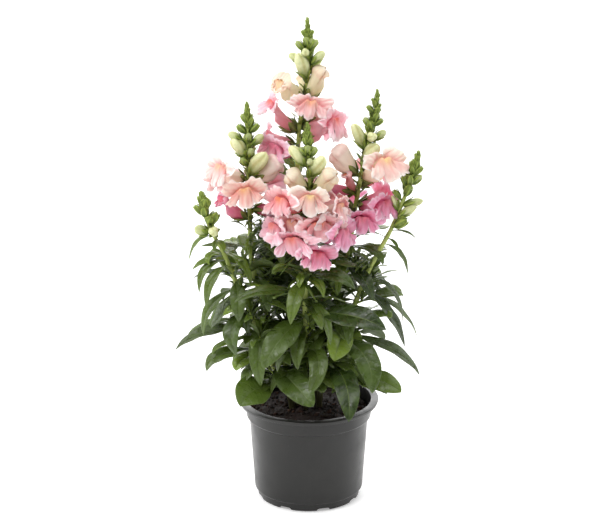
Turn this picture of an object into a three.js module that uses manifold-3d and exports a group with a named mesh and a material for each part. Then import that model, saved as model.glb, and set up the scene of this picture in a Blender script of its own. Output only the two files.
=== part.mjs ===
// A bedding snapdragon in its round nursery pot: six stems planted in potting soil, four of them in
// flower and two still in bud, with their leaves. Millimetres, +Z up, origin at the centre of the
// pot's underside, front of the plant towards -Y.

import * as THREE from "three";
import { mergeVertices } from "three/addons/utils/BufferGeometryUtils.js";
import Module from "manifold-3d";

const wasm = await Module();
wasm.setup();
const { Manifold, Mesh: SolidMesh } = wasm;

// ---------------------------------------------------------------- driving dimensions

const GAP = 0.3; // clearance left between pieces that touch
const POT_HEIGHT = 88;
const RIM_RADIUS = 60; // outside of the flat lip
const LIP_THICK = 1.6;
const LIP_TURN_DOWN = 3.2; // height of the lip's outer edge
const BAND_TOP_RADIUS = 54.5; // collar under the lip
const BAND_FOOT_RADIUS = 53.3;
const BAND_FOOT_HEIGHT = 73;
const BODY_TOP_RADIUS = 50.8; // tapered wall under the collar
const BODY_KINK_RADIUS = 46.4;
const BODY_KINK_HEIGHT = 9;
const BASE_RADIUS = 43;
const WALL = 1.3;
const FLOOR = 1.5;
const POT_SIDES = 36;

const DRAIN_COUNT = 8;
const DRAIN_WIDTH = 12.5;
const DRAIN_HEIGHT = 2.8;
const DRAIN_DEPTH = 9; // from the base's edge inwards
const DRAIN_TURN = 17; // degrees from the front to the first drain notch

const SOIL_EDGE_HEIGHT = 77;
const SOIL_CENTRE_HEIGHT = 81.5;
const SOIL_GAP = 0.4; // between the soil and the pot's wall

const STEM_ROOT_RADIUS = 2.4;
const STEM_TIP_RADIUS = 0.9;
const STEM_CORNERS = 5;
const BUD_CORNERS = 4;
const STEM_STEP = 20; // length of one straight stretch of a stem

const TUBE_CORNERS = 6;
const LIP_CORNERS = 4;
const LEAF_THICK = 1;
const LEAF_STEPS = 5;
const LEAF_CORNERS = 4;
const BEND_DROP = 0.45; // share of a leaf's drop that its bend point has made

// ---------------------------------------------------------------- finishes

const finish = (color, roughness) => new THREE.MeshStandardMaterial({ color, roughness, metalness: 0 });
const POT_PLASTIC = finish(0x44433f, 0.42);
const POTTING_SOIL = finish(0x2b1c15, 0.95);
const STEM_GREEN = finish(0x92ad57, 0.6);
const LEAF_GREEN = finish(0x4d6c36, 0.55);
const PETAL_PINK = finish(0xf2a2b2, 0.6);
const PETAL_CREAM = finish(0xf2dcc0, 0.6);

// ---------------------------------------------------------------- the plant's own measures

// Each stem's middle line from the soil to its tip, as points [x, y, z], and the buds near its tip as
// [height, turn, size]: the turn is in degrees from the front, positive to the right.
const STEMS = {
  tall: {
    line: [[-3, 5, 63], [-6, 6, 94], [-7, 10, 136], [-8, 16, 189], [-9, 20, 241], [-9, 24, 292],
      [-7, 25, 327], [-2, 25, 352], [-1, 25, 387], [-1, 25, 412]],
    buds: [[358, -80, 9.5], [367, 85, 8], [368, -85, 8], [375, 10, 7], [378, 190, 6.5], [385, -80, 6],
      [386, 80, 6], [393, 0, 5], [395, 170, 5], [401, -90, 4.5], [404, 80, 4]],
  },
  left: {
    line: [[-10, 1, 63], [-13, -1, 95], [-24, -4, 132], [-39, -6, 178], [-48, -6, 212], [-49, -5, 244],
      [-50, -4, 274], [-50, -2, 308], [-51, 0, 346]],
    buds: [[286, 75, 10.5], [299, -85, 9], [303, 60, 8], [308, -70, 6.5], [314, 150, 6], [320, 20, 5.5],
      [327, -90, 5], [333, 90, 4.5], [339, -30, 4]],
  },
  front: {
    line: [[-3, -8, 63], [-4, -10, 95], [-3, -15, 136], [-3, -22, 184], [-3, -26, 211], [-1, -29, 247],
      [1, -30, 282], [-1, -30, 316], [-1, -30, 337]],
    buds: [[293, -75, 9.5], [295, 80, 9], [303, 10, 7], [306, 190, 7], [312, -100, 6], [318, 70, 5.5],
      [324, -20, 5], [330, 140, 4.5]],
  },
  right: {
    line: [[6, 5, 63], [6, 6, 96], [13, 8, 133], [24, 8, 178], [34, 8, 222], [40, 7, 262], [47, 6, 302],
      [54, 5, 332], [57, 5, 356]],
    buds: [[297, 78, 9], [308, -85, 9], [314, 80, 7.5], [318, -30, 6.5], [324, 120, 6], [330, -80, 5.5],
      [336, 40, 5], [342, -60, 4.5], [348, 100, 4]],
  },
  far_right: {
    line: [[9, -4, 63], [10, -4, 95], [18, -5, 123], [36, -6, 167], [52, -6, 208], [70, -5, 243],
      [79, -4, 266], [88, -3, 290], [92, -2, 304]],
    buds: [[250, -20, 7], [258, 80, 6.5], [260, -100, 6.5], [267, 10, 6], [272, 100, 6], [276, -80, 5.5],
      [282, 30, 5], [287, -110, 4.5], [293, 80, 4]],
  },
  far_left: {
    line: [[-13, -7, 63], [-17, -8, 95], [-28, -11, 117], [-48, -18, 169], [-62, -20, 202],
      [-72, -20, 227], [-79, -20, 240], [-86, -20, 257], [-89, -20, 274]],
    buds: [[231, -70, 7], [237, 60, 6.5], [243, -110, 6.5], [247, 20, 6], [252, 110, 5.5], [257, -60, 5],
      [263, 60, 4.5], [267, -120, 4]],
  },
};

// Flowers by stem, as [height on the stem, turn in degrees, rise in degrees, reach, kind].
const FLOWERS = {
  tall: [[341, 84, 58, 34, "young"], [345, -60, 30, 29, "young"], [314, -82, 45, 36, "open"],
    [337, 14, 15, 27, "open"], [319, 66, 10, 32, "open"], [301, -45, 8, 29, "open"]],
  left: [[283, -60, 20, 29, "open"], [280, 102, 30, 32, "open"], [273, -4, 10, 28, "open"],
    [248, -76, 36, 31, "open"]],
  front: [[279, -75, 42, 26, "young"], [279, 72, 38, 28, "young"], [275, 0, 10, 26, "open"],
    [269, -52, 10, 30, "open"], [247, -64, 5, 30, "open"], [246, -22, -5, 30, "open"],
    [257, 18, 0, 28, "open"], [262, 70, 10, 28, "open"], [246, 62, 0, 32, "open"],
    [236, 16, -10, 28, "open"]],
  right: [[282, -100, 42, 32, "open"], [281, 42, 28, 35, "open"], [268, -60, 55, 22, "young"],
    [258, 50, 5, 30, "open"], [250, 12, 0, 28, "open"]],
};

// Leaves, as [stem, height on the stem, tip [x, y, z], width, arch, sway, bow]. One bend point shapes
// the midrib: it stands at the share `bow` of the level way from stalk to tip, two arches above the
// straight line, and two sways to the side, positive to the right on a leaf that points to the front.
const LEAVES = {
  rim_left: ["far_left", 100, [-57, -60, 103], 27, 8, -3, 0.7],
  rim_right: ["far_right", 122, [33, -72, 94], 21, 10, 3, 0.85],
  low_front: ["far_left", 121, [4, -58, 102], 24, 4, -4, 0.75],
  low_right: ["far_right", 110, [78, -30, 108], 20, 6, 0, 0.75],
  middle_low: ["front", 142, [0, -52, 110], 16, 9, 9, 1.0],
  middle_right: ["right", 123, [26, -42, 110], 12, 5, 0, 0.7],
  drop_left: ["left", 166, [-40, -42, 114], 16, 4, -3, 1.1],
  broad_left: ["front", 168, [-38, -56, 135], 23, 6, 4, 0.8],
  level_left: ["front", 192, [-61, -50, 192], 11, 8, 6, 0.7],
  dark_left: ["far_left", 172, [-60, -46, 143], 16, 6, -6, 1.1],
  back_left: ["far_left", 214, [-85, -34, 180], 9, 7, 1, 1.1],
  long_left: ["left", 190, [-84, -10, 153], 9, 4, 4, 0.9],
  arc_left: ["far_left", 218, [-91, -30, 193], 8, 7, 0, 1.05],
  side_left: ["far_left", 222, [-97, -24, 211], 7, 3, 2, 0.65],
  high_left: ["far_left", 239, [-100, -16, 216], 5, 6, 0, 0.8],
  far_left: ["far_left", 158, [-113, -8, 134], 12, 6, 2, 0.75],
  low_left: ["far_left", 135, [-86, -22, 120], 13, 7, 1, 1.0],
  inner_left: ["far_left", 226, [-48, -36, 201], 9, 5, -1, 1.0],
  hanging: ["front", 204, [-15, -56, 174], 13, 6, 1, 0.95],
  broad_right: ["front", 172, [64, -52, 168], 23, 8, -7, 0.75],
  inner_right: ["front", 206, [38, -50, 203], 13, 9, -4, 0.75],
  drop_right: ["far_right", 145, [53, -48, 110], 22, 8, 3, 0.9],
  pale_right: ["right", 150, [41, -14, 130], 18, 5, 2, 0.9],
  far_right: ["far_right", 148, [95, 4, 106], 13, 4, -1, 0.8],
  side_right: ["far_right", 186, [93, 14, 137], 9, 4, 0, 0.8],
  arch_right: ["far_right", 200, [79, -8, 158], 7, 6, 1, 1.0],
  high_right: ["far_right", 228, [83, -8, 202], 6, 4, 1, 0.9],
};

// ---------------------------------------------------------------- solids

const radians = (degrees) => THREE.MathUtils.degToRad(degrees);
const vector = ([x, y, z]) => new THREE.Vector3(x, y, z);

/** A manifold solid from a closed three.js geometry. */
function solidFrom(geometry) {
  geometry.deleteAttribute("normal");
  geometry.deleteAttribute("uv");
  const merged = mergeVertices(geometry, 1e-4);
  return new Manifold(new SolidMesh({
    numProp: 3,
    vertProperties: new Float32Array(merged.attributes.position.array),
    triVerts: new Uint32Array(merged.index.array),
  }));
}

/** A three.js geometry from a manifold solid. */
function geometryFrom(solid) {
  const mesh = solid.getMesh();
  const geometry = new THREE.BufferGeometry();
  geometry.setAttribute("position", new THREE.BufferAttribute(mesh.vertProperties, mesh.numProp));
  geometry.setIndex(new THREE.BufferAttribute(mesh.triVerts, 1));
  geometry.computeVertexNormals();
  return geometry;
}

/**
 * A closed solid along a row of stations { at, wide, deep }: an oval with the given number of
 * corners stands across the path at each station, its width along `across`. `extra` makes the
 * solid larger all round.
 */
function sweep(stations, across, corners, extra = 0) {
  const last = stations.length - 1;
  const positions = [];
  const index = [];
  stations.forEach(({ at, wide, deep }, i) => {
    const along = stations[Math.min(i + 1, last)].at.clone().sub(stations[Math.max(i - 1, 0)].at);
    along.normalize();
    const up = new THREE.Vector3().crossVectors(along, across).normalize();
    const side = new THREE.Vector3().crossVectors(up, along);
    const end = (i === last) - (i === 0);
    const centre = at.clone().addScaledVector(along, end * extra);
    for (let k = 0; k < corners; k += 1) {
      const turn = (2 * Math.PI * k) / corners;
      const point = centre.clone();
      point.addScaledVector(side, Math.cos(turn) * (wide + extra));
      point.addScaledVector(up, Math.sin(turn) * (deep + extra));
      positions.push(...point);
    }
  });
  for (let i = 0; i < last; i += 1) {
    for (let k = 0; k < corners; k += 1) {
      const [a, b] = [i * corners + k, i * corners + ((k + 1) % corners)];
      index.push(a, b, b + corners, a, b + corners, a + corners);
    }
  }
  for (let k = 1; k < corners - 1; k += 1) {
    index.push(0, k + 1, k);
    index.push(last * corners, last * corners + k, last * corners + k + 1);
  }
  const geometry = new THREE.BufferGeometry();
  geometry.setAttribute("position", new THREE.Float32BufferAttribute(positions, 3));
  geometry.setIndex(index);
  return solidFrom(geometry);
}

/** The union of several solids. */
const joined = (solids) => Manifold.union(solids);

/** A round solid turned about the Z axis from its half outline of [radius, height] points. */
function turned(outline) {
  const points = outline.map(([radius, height]) => new THREE.Vector2(radius, height));
  const geometry = new THREE.LatheGeometry(points, POT_SIDES);
  geometry.rotateX(Math.PI / 2);
  return solidFrom(geometry);
}

// ---------------------------------------------------------------- pot and soil

/** The pot: a tapered cup with a collar, a flat lip and drain notches round its base. */
function potSolid() {
  const lipFoot = POT_HEIGHT - LIP_THICK;
  const kinkStep = 0.6;
  const cup = turned([
    [0, 0], [BASE_RADIUS, 0], [BASE_RADIUS + 1.6, DRAIN_HEIGHT + 0.6],
    [BODY_KINK_RADIUS - kinkStep, BODY_KINK_HEIGHT - 1], [BODY_KINK_RADIUS, BODY_KINK_HEIGHT],
    [BODY_TOP_RADIUS, BAND_FOOT_HEIGHT - 1], [BAND_FOOT_RADIUS, BAND_FOOT_HEIGHT],
    [BAND_TOP_RADIUS, lipFoot], [RIM_RADIUS - LIP_THICK, lipFoot],
    [RIM_RADIUS - 0.9, POT_HEIGHT - LIP_TURN_DOWN], [RIM_RADIUS, POT_HEIGHT - LIP_TURN_DOWN],
    [RIM_RADIUS - 0.5, POT_HEIGHT], [BAND_TOP_RADIUS - WALL, POT_HEIGHT],
    [BAND_FOOT_RADIUS - WALL, BAND_FOOT_HEIGHT + 1.2], [BODY_TOP_RADIUS - WALL, BAND_FOOT_HEIGHT],
    [BODY_KINK_RADIUS - WALL, BODY_KINK_HEIGHT], [BASE_RADIUS - 0.2, DRAIN_HEIGHT + 0.8],
    [BASE_RADIUS - WALL, FLOOR], [0, FLOOR],
  ]);
  return cup.subtract(joined(drainNotches()));
}

/** Arched blocks that cut the drain notches through the wall and the floor's edge. */
function drainNotches() {
  const arch = new THREE.Shape();
  arch.moveTo(-DRAIN_WIDTH / 2, -1);
  arch.lineTo(DRAIN_WIDTH / 2, -1);
  arch.lineTo(DRAIN_WIDTH / 2, DRAIN_HEIGHT * 0.4);
  arch.quadraticCurveTo(DRAIN_WIDTH / 2, DRAIN_HEIGHT, DRAIN_WIDTH / 2 - 4, DRAIN_HEIGHT);
  arch.lineTo(4 - DRAIN_WIDTH / 2, DRAIN_HEIGHT);
  arch.quadraticCurveTo(-DRAIN_WIDTH / 2, DRAIN_HEIGHT, -DRAIN_WIDTH / 2, DRAIN_HEIGHT * 0.4);
  arch.closePath();
  return Array.from({ length: DRAIN_COUNT }, (_, k) => {
    const notch = new THREE.ExtrudeGeometry(arch, { depth: 14, bevelEnabled: false, curveSegments: 4 });
    notch.rotateX(Math.PI / 2);
    notch.translate(0, -(BASE_RADIUS - DRAIN_DEPTH), 0);
    notch.rotateZ(radians(DRAIN_TURN + (k * 360) / DRAIN_COUNT));
    return solidFrom(notch);
  });
}

/** The soil that fills the pot, slightly mounded, with a socket for each stem. */
function soilSolid(sockets) {
  const inset = WALL + SOIL_GAP;
  const fill = turned([
    [0, FLOOR + GAP], [BASE_RADIUS - inset, FLOOR + GAP],
    [BASE_RADIUS - 0.8, DRAIN_HEIGHT + 1], [BODY_KINK_RADIUS - inset, BODY_KINK_HEIGHT],
    [BODY_TOP_RADIUS - inset, BAND_FOOT_HEIGHT + GAP],
    [BAND_FOOT_RADIUS - inset, BAND_FOOT_HEIGHT + WALL + GAP],
    [BAND_FOOT_RADIUS - inset, SOIL_EDGE_HEIGHT], [BAND_FOOT_RADIUS - 8, SOIL_EDGE_HEIGHT + 1.8],
    [26, SOIL_CENTRE_HEIGHT - 1.2], [0, SOIL_CENTRE_HEIGHT],
  ]);
  return fill.subtract(joined(sockets));
}

// ---------------------------------------------------------------- stems and buds

const stemCurves = Object.fromEntries(Object.entries(STEMS).map(([name, { line }]) => (
  [name, new THREE.CatmullRomCurve3(line.map(vector))])));

/** The point on a stem's middle line at a height. */
function onStem(name, height) {
  const curve = stemCurves[name];
  let [low, high] = [0, 1];
  for (let i = 0; i < 24; i += 1) {
    const middle = (low + high) / 2;
    if (curve.getPoint(middle).z < height) low = middle;
    else high = middle;
  }
  return curve.getPoint(low);
}

/** A level direction, in degrees from the front, raised by an angle. */
function heading(turn, rise) {
  const [t, r] = [radians(turn), radians(rise)];
  return new THREE.Vector3(Math.cos(r) * Math.sin(t), -Math.cos(r) * Math.cos(t), Math.sin(r));
}

// A bud's outline in shares of its size, as [forwards, half width].
const BUD = [[0.12, 0.22], [0.43, 0.38], [0.93, 0.42], [1.37, 0.14]];
const BUD_RISE = 50; // degrees above level

/** One closed bud that leans out from the stem. */
function budSolid(stem, [height, turn, size], extra) {
  const root = onStem(stem, height);
  const along = heading(turn, BUD_RISE);
  const across = heading(turn + 90, 0);
  return sweep(BUD.map(([forwards, half]) => ({
    at: root.clone().addScaledVector(along, forwards * size),
    wide: half * size,
    deep: half * size,
  })), across, BUD_CORNERS, extra);
}

/** One whole stem with the closed buds that grow on it. */
function stemSolid(name, extra = 0) {
  const curve = stemCurves[name];
  const steps = Math.round(curve.getLength() / STEM_STEP);
  const stations = Array.from({ length: steps + 1 }, (_, i) => {
    const radius = THREE.MathUtils.lerp(STEM_ROOT_RADIUS, STEM_TIP_RADIUS, (i / steps) ** 1.3);
    return { at: curve.getPointAt(i / steps), wide: radius, deep: radius };
  });
  const stalk = sweep(stations, new THREE.Vector3(1, 0, 0), STEM_CORNERS, extra);
  return joined([stalk, ...STEMS[name].buds.map((bud) => budSolid(name, bud, extra))]);
}

// ---------------------------------------------------------------- flowers

// Outlines in shares of the reach, as [forwards, upwards, half width, half depth].
const TUBE = [[0, 0, 0.035, 0.035], [0.12, -0.01, 0.035, 0.035], [0.19, 0, 0.13, 0.13],
  [0.42, 0, 0.17, 0.16], [0.68, -0.02, 0.21, 0.21], [0.9, -0.02, 0.27, 0.26], [1.03, -0.02, 0.16, 0.17]];
const YOUNG_TUBE = [[0, 0, 0.05, 0.05], [0.13, 0, 0.05, 0.05], [0.2, 0, 0.18, 0.18],
  [0.4, 0, 0.25, 0.24], [0.64, 0.02, 0.34, 0.33], [0.88, 0.03, 0.33, 0.32], [1.05, 0.02, 0.15, 0.15]];
const UPPER_LIP = [[0.84, 0.14, 0.22, 0.05], [0.9, 0.38, 0.44, 0.035], [0.8, 0.58, 0.52, 0.03],
  [0.62, 0.7, 0.34, 0.02]];
const LOWER_LIP = [[0.88, -0.14, 0.24, 0.07], [1.05, -0.3, 0.38, 0.05], [1.02, -0.52, 0.42, 0.03],
  [0.84, -0.68, 0.22, 0.02]];

/** One flower: stalk, calyx and tube, and on an open one its two lips. */
function flowerSolid(stem, [height, turn, rise, reach, kind], extra = 0) {
  const root = onStem(stem, height);
  const along = heading(turn, rise);
  const across = heading(turn + 90, 0);
  const up = heading(turn, rise + 90);
  const part = (outline, corners) => sweep(outline.map(([forwards, upwards, wide, deep]) => ({
    at: root.clone().addScaledVector(along, forwards * reach).addScaledVector(up, upwards * reach),
    wide: wide * reach,
    deep: deep * reach,
  })), across, corners, extra);
  if (kind === "young") return part(YOUNG_TUBE, TUBE_CORNERS);
  return joined([part(TUBE, TUBE_CORNERS), part(UPPER_LIP, LIP_CORNERS), part(LOWER_LIP, LIP_CORNERS)]);
}

// ---------------------------------------------------------------- leaves

/** Half the width of a lance-shaped leaf at a share of its length. */
function leafHalfWidth(share, width) {
  const stalk = 0.9;
  const blade = Math.sin(Math.PI * Math.min(1, Math.max(0, share - 0.08) / 0.92) ** 0.85) ** 0.8;
  return Math.max(stalk * (1 - share), (blade * width) / 2, 0.25);
}

/** One leaf from the middle of its stem to its tip, along a single arch. */
function leafSolid([stem, height, tip, width, arch, sway, bow], extra = 0) {
  const root = onStem(stem, height);
  const end = vector(tip);
  const run = end.clone().sub(root).setZ(0);
  const across = new THREE.Vector3(-run.y, run.x, 0).normalize();
  const bend = root.clone().addScaledVector(run, bow).addScaledVector(across, 2 * sway);
  bend.z += BEND_DROP * (end.z - root.z) + 2 * arch;
  const midrib = new THREE.QuadraticBezierCurve3(root, bend, end);
  const stations = Array.from({ length: LEAF_STEPS + 1 }, (_, i) => {
    const share = i / LEAF_STEPS;
    const wide = leafHalfWidth(share, width);
    return { at: midrib.getPoint(share), wide, deep: LEAF_THICK / 2 };
  });
  return sweep(stations, across, LEAF_CORNERS, extra);
}

// ---------------------------------------------------------------- the assembly

const plant = new THREE.Group();
const grownPieces = [];

/** The part of a cut solid that still holds on to its stem. */
function nearestTo(solid, root) {
  const parts = solid.decompose();
  const distance = (part) => {
    const box = part.boundingBox();
    return new THREE.Box3(vector(box.min), vector(box.max)).distanceToPoint(root);
  };
  const large = parts.filter((part) => part.volume() > 0.15 * solid.volume());
  return large.sort((a, b) => distance(a) - distance(b))[0];
}

const boxesMeet = (a, b) => [0, 1, 2].every((i) => a.min[i] < b.max[i] && b.min[i] < a.max[i]);

function addMesh(name, material, solid) {
  const mesh = new THREE.Mesh(geometryFrom(solid), material);
  mesh.name = name;
  plant.add(mesh);
}

/** Adds a piece of the plant, cut back to leave the gap wherever it would press on an earlier one. */
function grow(name, material, root, shape) {
  const whole = shape(0);
  const box = whole.boundingBox();
  const pressing = grownPieces.filter((piece) => boxesMeet(piece.box, box));
  const cut = pressing.length ? whole.subtract(joined(pressing.map((piece) => piece.solid))) : whole;
  const kept = nearestTo(cut, root).simplify(0.02);
  const grown = shape(GAP);
  grownPieces.push({ name, solid: grown, box: grown.boundingBox() });
  addMesh(name, material, kept);
}

addMesh("pot", POT_PLASTIC, potSolid());
addMesh("soil", POTTING_SOIL, soilSolid(Object.keys(STEMS).map((name) => stemSolid(name, GAP))));

for (const [name, { line }] of Object.entries(STEMS)) {
  grow(`stem_${name}`, STEM_GREEN, vector(line[0]), (extra) => stemSolid(name, extra));
}
for (const [stem, rows] of Object.entries(FLOWERS)) {
  rows.forEach((row, i) => {
    const material = row[4] === "young" ? PETAL_CREAM : PETAL_PINK;
    grow(`flower_${stem}_${i + 1}`, material, onStem(stem, row[0]), (extra) => flowerSolid(stem, row, extra));
  });
}
for (const [name, row] of Object.entries(LEAVES)) {
  grow(`leaf_${name}`, LEAF_GREEN, onStem(row[0], row[1]), (extra) => leafSolid(row, extra));
}

export default plant;
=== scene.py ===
"""A bedding snapdragon in its nursery pot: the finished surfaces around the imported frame.

The plant's measures are in millimetres and are turned into metres when a mesh is made. Directions are
given as a turn in degrees from the front (-Y) towards the right (+X), and a rise above level.
"""

import logging
import math
from dataclasses import dataclass, field, replace
from enum import Enum

import bpy
import numpy as np
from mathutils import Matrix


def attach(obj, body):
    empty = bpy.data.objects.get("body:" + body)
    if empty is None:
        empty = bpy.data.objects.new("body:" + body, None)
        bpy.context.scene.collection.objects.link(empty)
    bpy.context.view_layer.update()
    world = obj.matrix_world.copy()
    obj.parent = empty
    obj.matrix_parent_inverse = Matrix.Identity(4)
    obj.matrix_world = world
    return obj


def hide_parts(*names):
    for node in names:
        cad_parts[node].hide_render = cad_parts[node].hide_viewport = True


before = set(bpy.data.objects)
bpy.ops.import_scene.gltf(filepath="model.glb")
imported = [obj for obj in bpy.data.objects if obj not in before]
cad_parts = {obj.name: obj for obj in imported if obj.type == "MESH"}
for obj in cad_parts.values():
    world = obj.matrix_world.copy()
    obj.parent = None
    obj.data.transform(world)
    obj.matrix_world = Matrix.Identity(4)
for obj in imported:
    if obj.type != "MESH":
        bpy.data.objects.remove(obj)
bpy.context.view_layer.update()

logging.basicConfig(level=logging.INFO, format="%(message)s")
log = logging.getLogger("snapdragon")

Array = np.ndarray
Colour = tuple[float, float, float]

MM = 0.001
FULL_TURN = 2 * math.pi
GOLDEN_TURN = 137.5
BODY = "root"
SEEDS = 1 << 30
SURFACE_MAP = "surface"
TINT_LAYER = "tint"
WHITE: Colour = (1.0, 1.0, 1.0)
UNREAD_TINT: Colour = (0.0, 0.0, 0.0)


# ------------------------------------------------------------------ the plant's own measures


@dataclass(frozen=True)
class StemRow:
    """One stem: its middle line, the spire of tiny buds at its tip, and where its leaves end."""

    line: tuple[tuple[float, float, float], ...]
    spire_foot: float
    spire_size: float
    spire_count: int
    leaf_top: float


STEMS = {
    "tall": StemRow(
        ((-3, 5, 63), (-6, 6, 94), (-7, 10, 136), (-8, 16, 189), (-9, 20, 241), (-9, 24, 292),
         (-7, 25, 327), (-2, 25, 352), (-1, 25, 387), (-1, 25, 412)), 393, 6.5, 15, 285),
    "left": StemRow(
        ((-10, 1, 63), (-13, -1, 95), (-24, -4, 132), (-39, -6, 178), (-48, -6, 212), (-49, -5, 244),
         (-50, -4, 274), (-50, -2, 308), (-51, 0, 346)), 328, 7.5, 15, 226),
    "front": StemRow(
        ((-3, -8, 63), (-4, -10, 95), (-3, -15, 136), (-3, -22, 184), (-3, -26, 211), (-1, -29, 247),
         (1, -30, 282), (-1, -30, 316), (-1, -30, 337)), 321, 6.5, 13, 215),
    "right": StemRow(
        ((6, 5, 63), (6, 6, 96), (13, 8, 133), (24, 8, 178), (34, 8, 222), (40, 7, 262), (47, 6, 302),
         (54, 5, 332), (57, 5, 356)), 340, 6.5, 13, 235),
    "far_right": StemRow(
        ((9, -4, 63), (10, -4, 95), (18, -5, 123), (36, -6, 167), (52, -6, 208), (70, -5, 243),
         (79, -4, 266), (88, -3, 290), (92, -2, 304)), 285, 9.5, 16, 208),
    "far_left": StemRow(
        ((-13, -7, 63), (-17, -8, 95), (-28, -11, 117), (-48, -18, 169), (-62, -20, 202),
         (-72, -20, 227), (-79, -20, 240), (-86, -20, 257), (-89, -20, 274)), 260, 9.5, 14, 225),
}
STEM_ROOT_RADIUS = 2.6
STEM_TIP_RADIUS = 1.2


@dataclass(frozen=True)
class Palette:
    """A flower's colours: tube, upper lip, lower lip, the lips' edges and the palate."""

    tube: Colour
    upper: Colour
    lower: Colour
    edge: Colour
    palate: Colour


class Tone(Enum):
    """How far a flower has coloured: cream when young, then peach, coral, pink and lilac rose."""

    CREAM = Palette((0.91, 0.91, 0.65), (0.94, 0.93, 0.75), (0.94, 0.90, 0.72), (0.97, 0.94, 0.86),
                    (0.90, 0.74, 0.46))
    SHELL = Palette((0.97, 0.92, 0.81), (0.98, 0.95, 0.88), (0.97, 0.88, 0.82), (0.99, 0.97, 0.95),
                    (0.90, 0.66, 0.42))
    IVORY = Palette((0.92, 0.82, 0.66), (0.95, 0.92, 0.81), (0.95, 0.83, 0.74), (0.99, 0.97, 0.93),
                    (0.93, 0.80, 0.42))
    PEACH = Palette((0.88, 0.62, 0.46), (0.94, 0.80, 0.68), (0.94, 0.70, 0.60), (0.99, 0.95, 0.92),
                    (0.93, 0.66, 0.36))
    BLUSH = Palette((0.89, 0.54, 0.48), (0.96, 0.84, 0.79), (0.95, 0.73, 0.70), (0.99, 0.94, 0.94),
                    (0.93, 0.60, 0.34))
    CORAL = Palette((0.88, 0.37, 0.35), (0.94, 0.63, 0.63), (0.94, 0.57, 0.59), (0.99, 0.93, 0.93),
                    (0.93, 0.40, 0.20))
    PINK = Palette((0.92, 0.50, 0.55), (0.95, 0.70, 0.76), (0.96, 0.70, 0.78), (0.99, 0.93, 0.95),
                   (0.91, 0.32, 0.24))
    ROSE = Palette((0.80, 0.18, 0.32), (0.92, 0.48, 0.64), (0.91, 0.40, 0.59), (0.98, 0.89, 0.93),
                   (0.86, 0.24, 0.30))
    MAUVE = Palette((0.90, 0.44, 0.60), (0.95, 0.75, 0.85), (0.94, 0.62, 0.76), (0.98, 0.90, 0.95),
                    (0.86, 0.24, 0.38))
    LILAC = Palette((0.74, 0.18, 0.34), (0.88, 0.44, 0.64), (0.87, 0.40, 0.61), (0.96, 0.84, 0.92),
                    (0.82, 0.28, 0.36))


@dataclass(frozen=True)
class FlowerRow:
    """One flower on a stem.

    `gape` goes from 0, a closed bud, to 1, lips fully spread. `young` is not used.
    `girth` makes its tube slimmer or stouter.
    """

    height: float
    turn: float
    rise: float
    reach: float
    gape: float
    tone: Tone
    spin: float = 0.0
    young: bool = False
    girth: float = 1.0


def by_stem(kind: type, tables: dict[str, tuple[tuple, ...]]) -> dict[str, tuple]:
    """Each stem's lines of values made into rows of one kind."""
    return {stem: tuple(kind(*values) for values in table) for stem, table in tables.items()}


# Flowers that stand for a modelled one, in the frame's order on each stem.
FLOWERS = by_stem(FlowerRow, {
    "tall": (
        (341, 84, 58, 34, 0.42, Tone.CREAM, 8, True, 0.80),
        (345, -60, 30, 29, 0.66, Tone.CREAM, 0, True, 1.35),
        (314, -82, 45, 36, 0.93, Tone.PINK, 0, False, 0.66), (337, 14, 15, 27, 1.0, Tone.BLUSH),
        (319, 66, 10, 32, 1.0, Tone.PINK), (301, -45, 8, 29, 1.0, Tone.MAUVE)),
    "left": (
        (283, -60, 20, 29, 1.0, Tone.SHELL), (280, 102, 30, 32, 0.40, Tone.SHELL),
        (273, -4, 10, 28, 1.0, Tone.PEACH), (248, -76, 36, 31, 0.74, Tone.ROSE, 0, False, 0.85)),
    "front": (
        (279, -75, 42, 26, 0.30, Tone.CREAM, 0, True), (279, 72, 38, 28, 0.35, Tone.CREAM, 0, True),
        (275, 0, 10, 26, 1.0, Tone.IVORY), (269, -52, 10, 30, 1.0, Tone.CORAL),
        (247, -64, 5, 30, 1.0, Tone.PINK), (246, -22, -5, 30, 1.0, Tone.PINK),
        (257, 18, 0, 28, 1.0, Tone.CORAL), (262, 70, 10, 28, 0.95, Tone.BLUSH),
        (246, 62, 0, 32, 1.0, Tone.LILAC), (236, 16, -10, 28, 1.0, Tone.ROSE)),
    "right": (
        (282, -100, 42, 32, 0.30, Tone.SHELL), (281, 42, 28, 35, 1.0, Tone.IVORY),
        (268, -60, 55, 22, 0.62, Tone.CORAL, 0, True, 0.75), (258, 50, 5, 30, 1.0, Tone.LILAC),
        (250, 12, 0, 28, 1.0, Tone.LILAC)),
})


@dataclass(frozen=True)
class BudRow:
    """One closed bud. `ripe` goes from 0, hidden in its sepals, to 1, a pale bud about to open."""

    height: float
    turn: float
    rise: float
    stalk: float
    length: float
    width: float
    ripe: float


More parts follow.
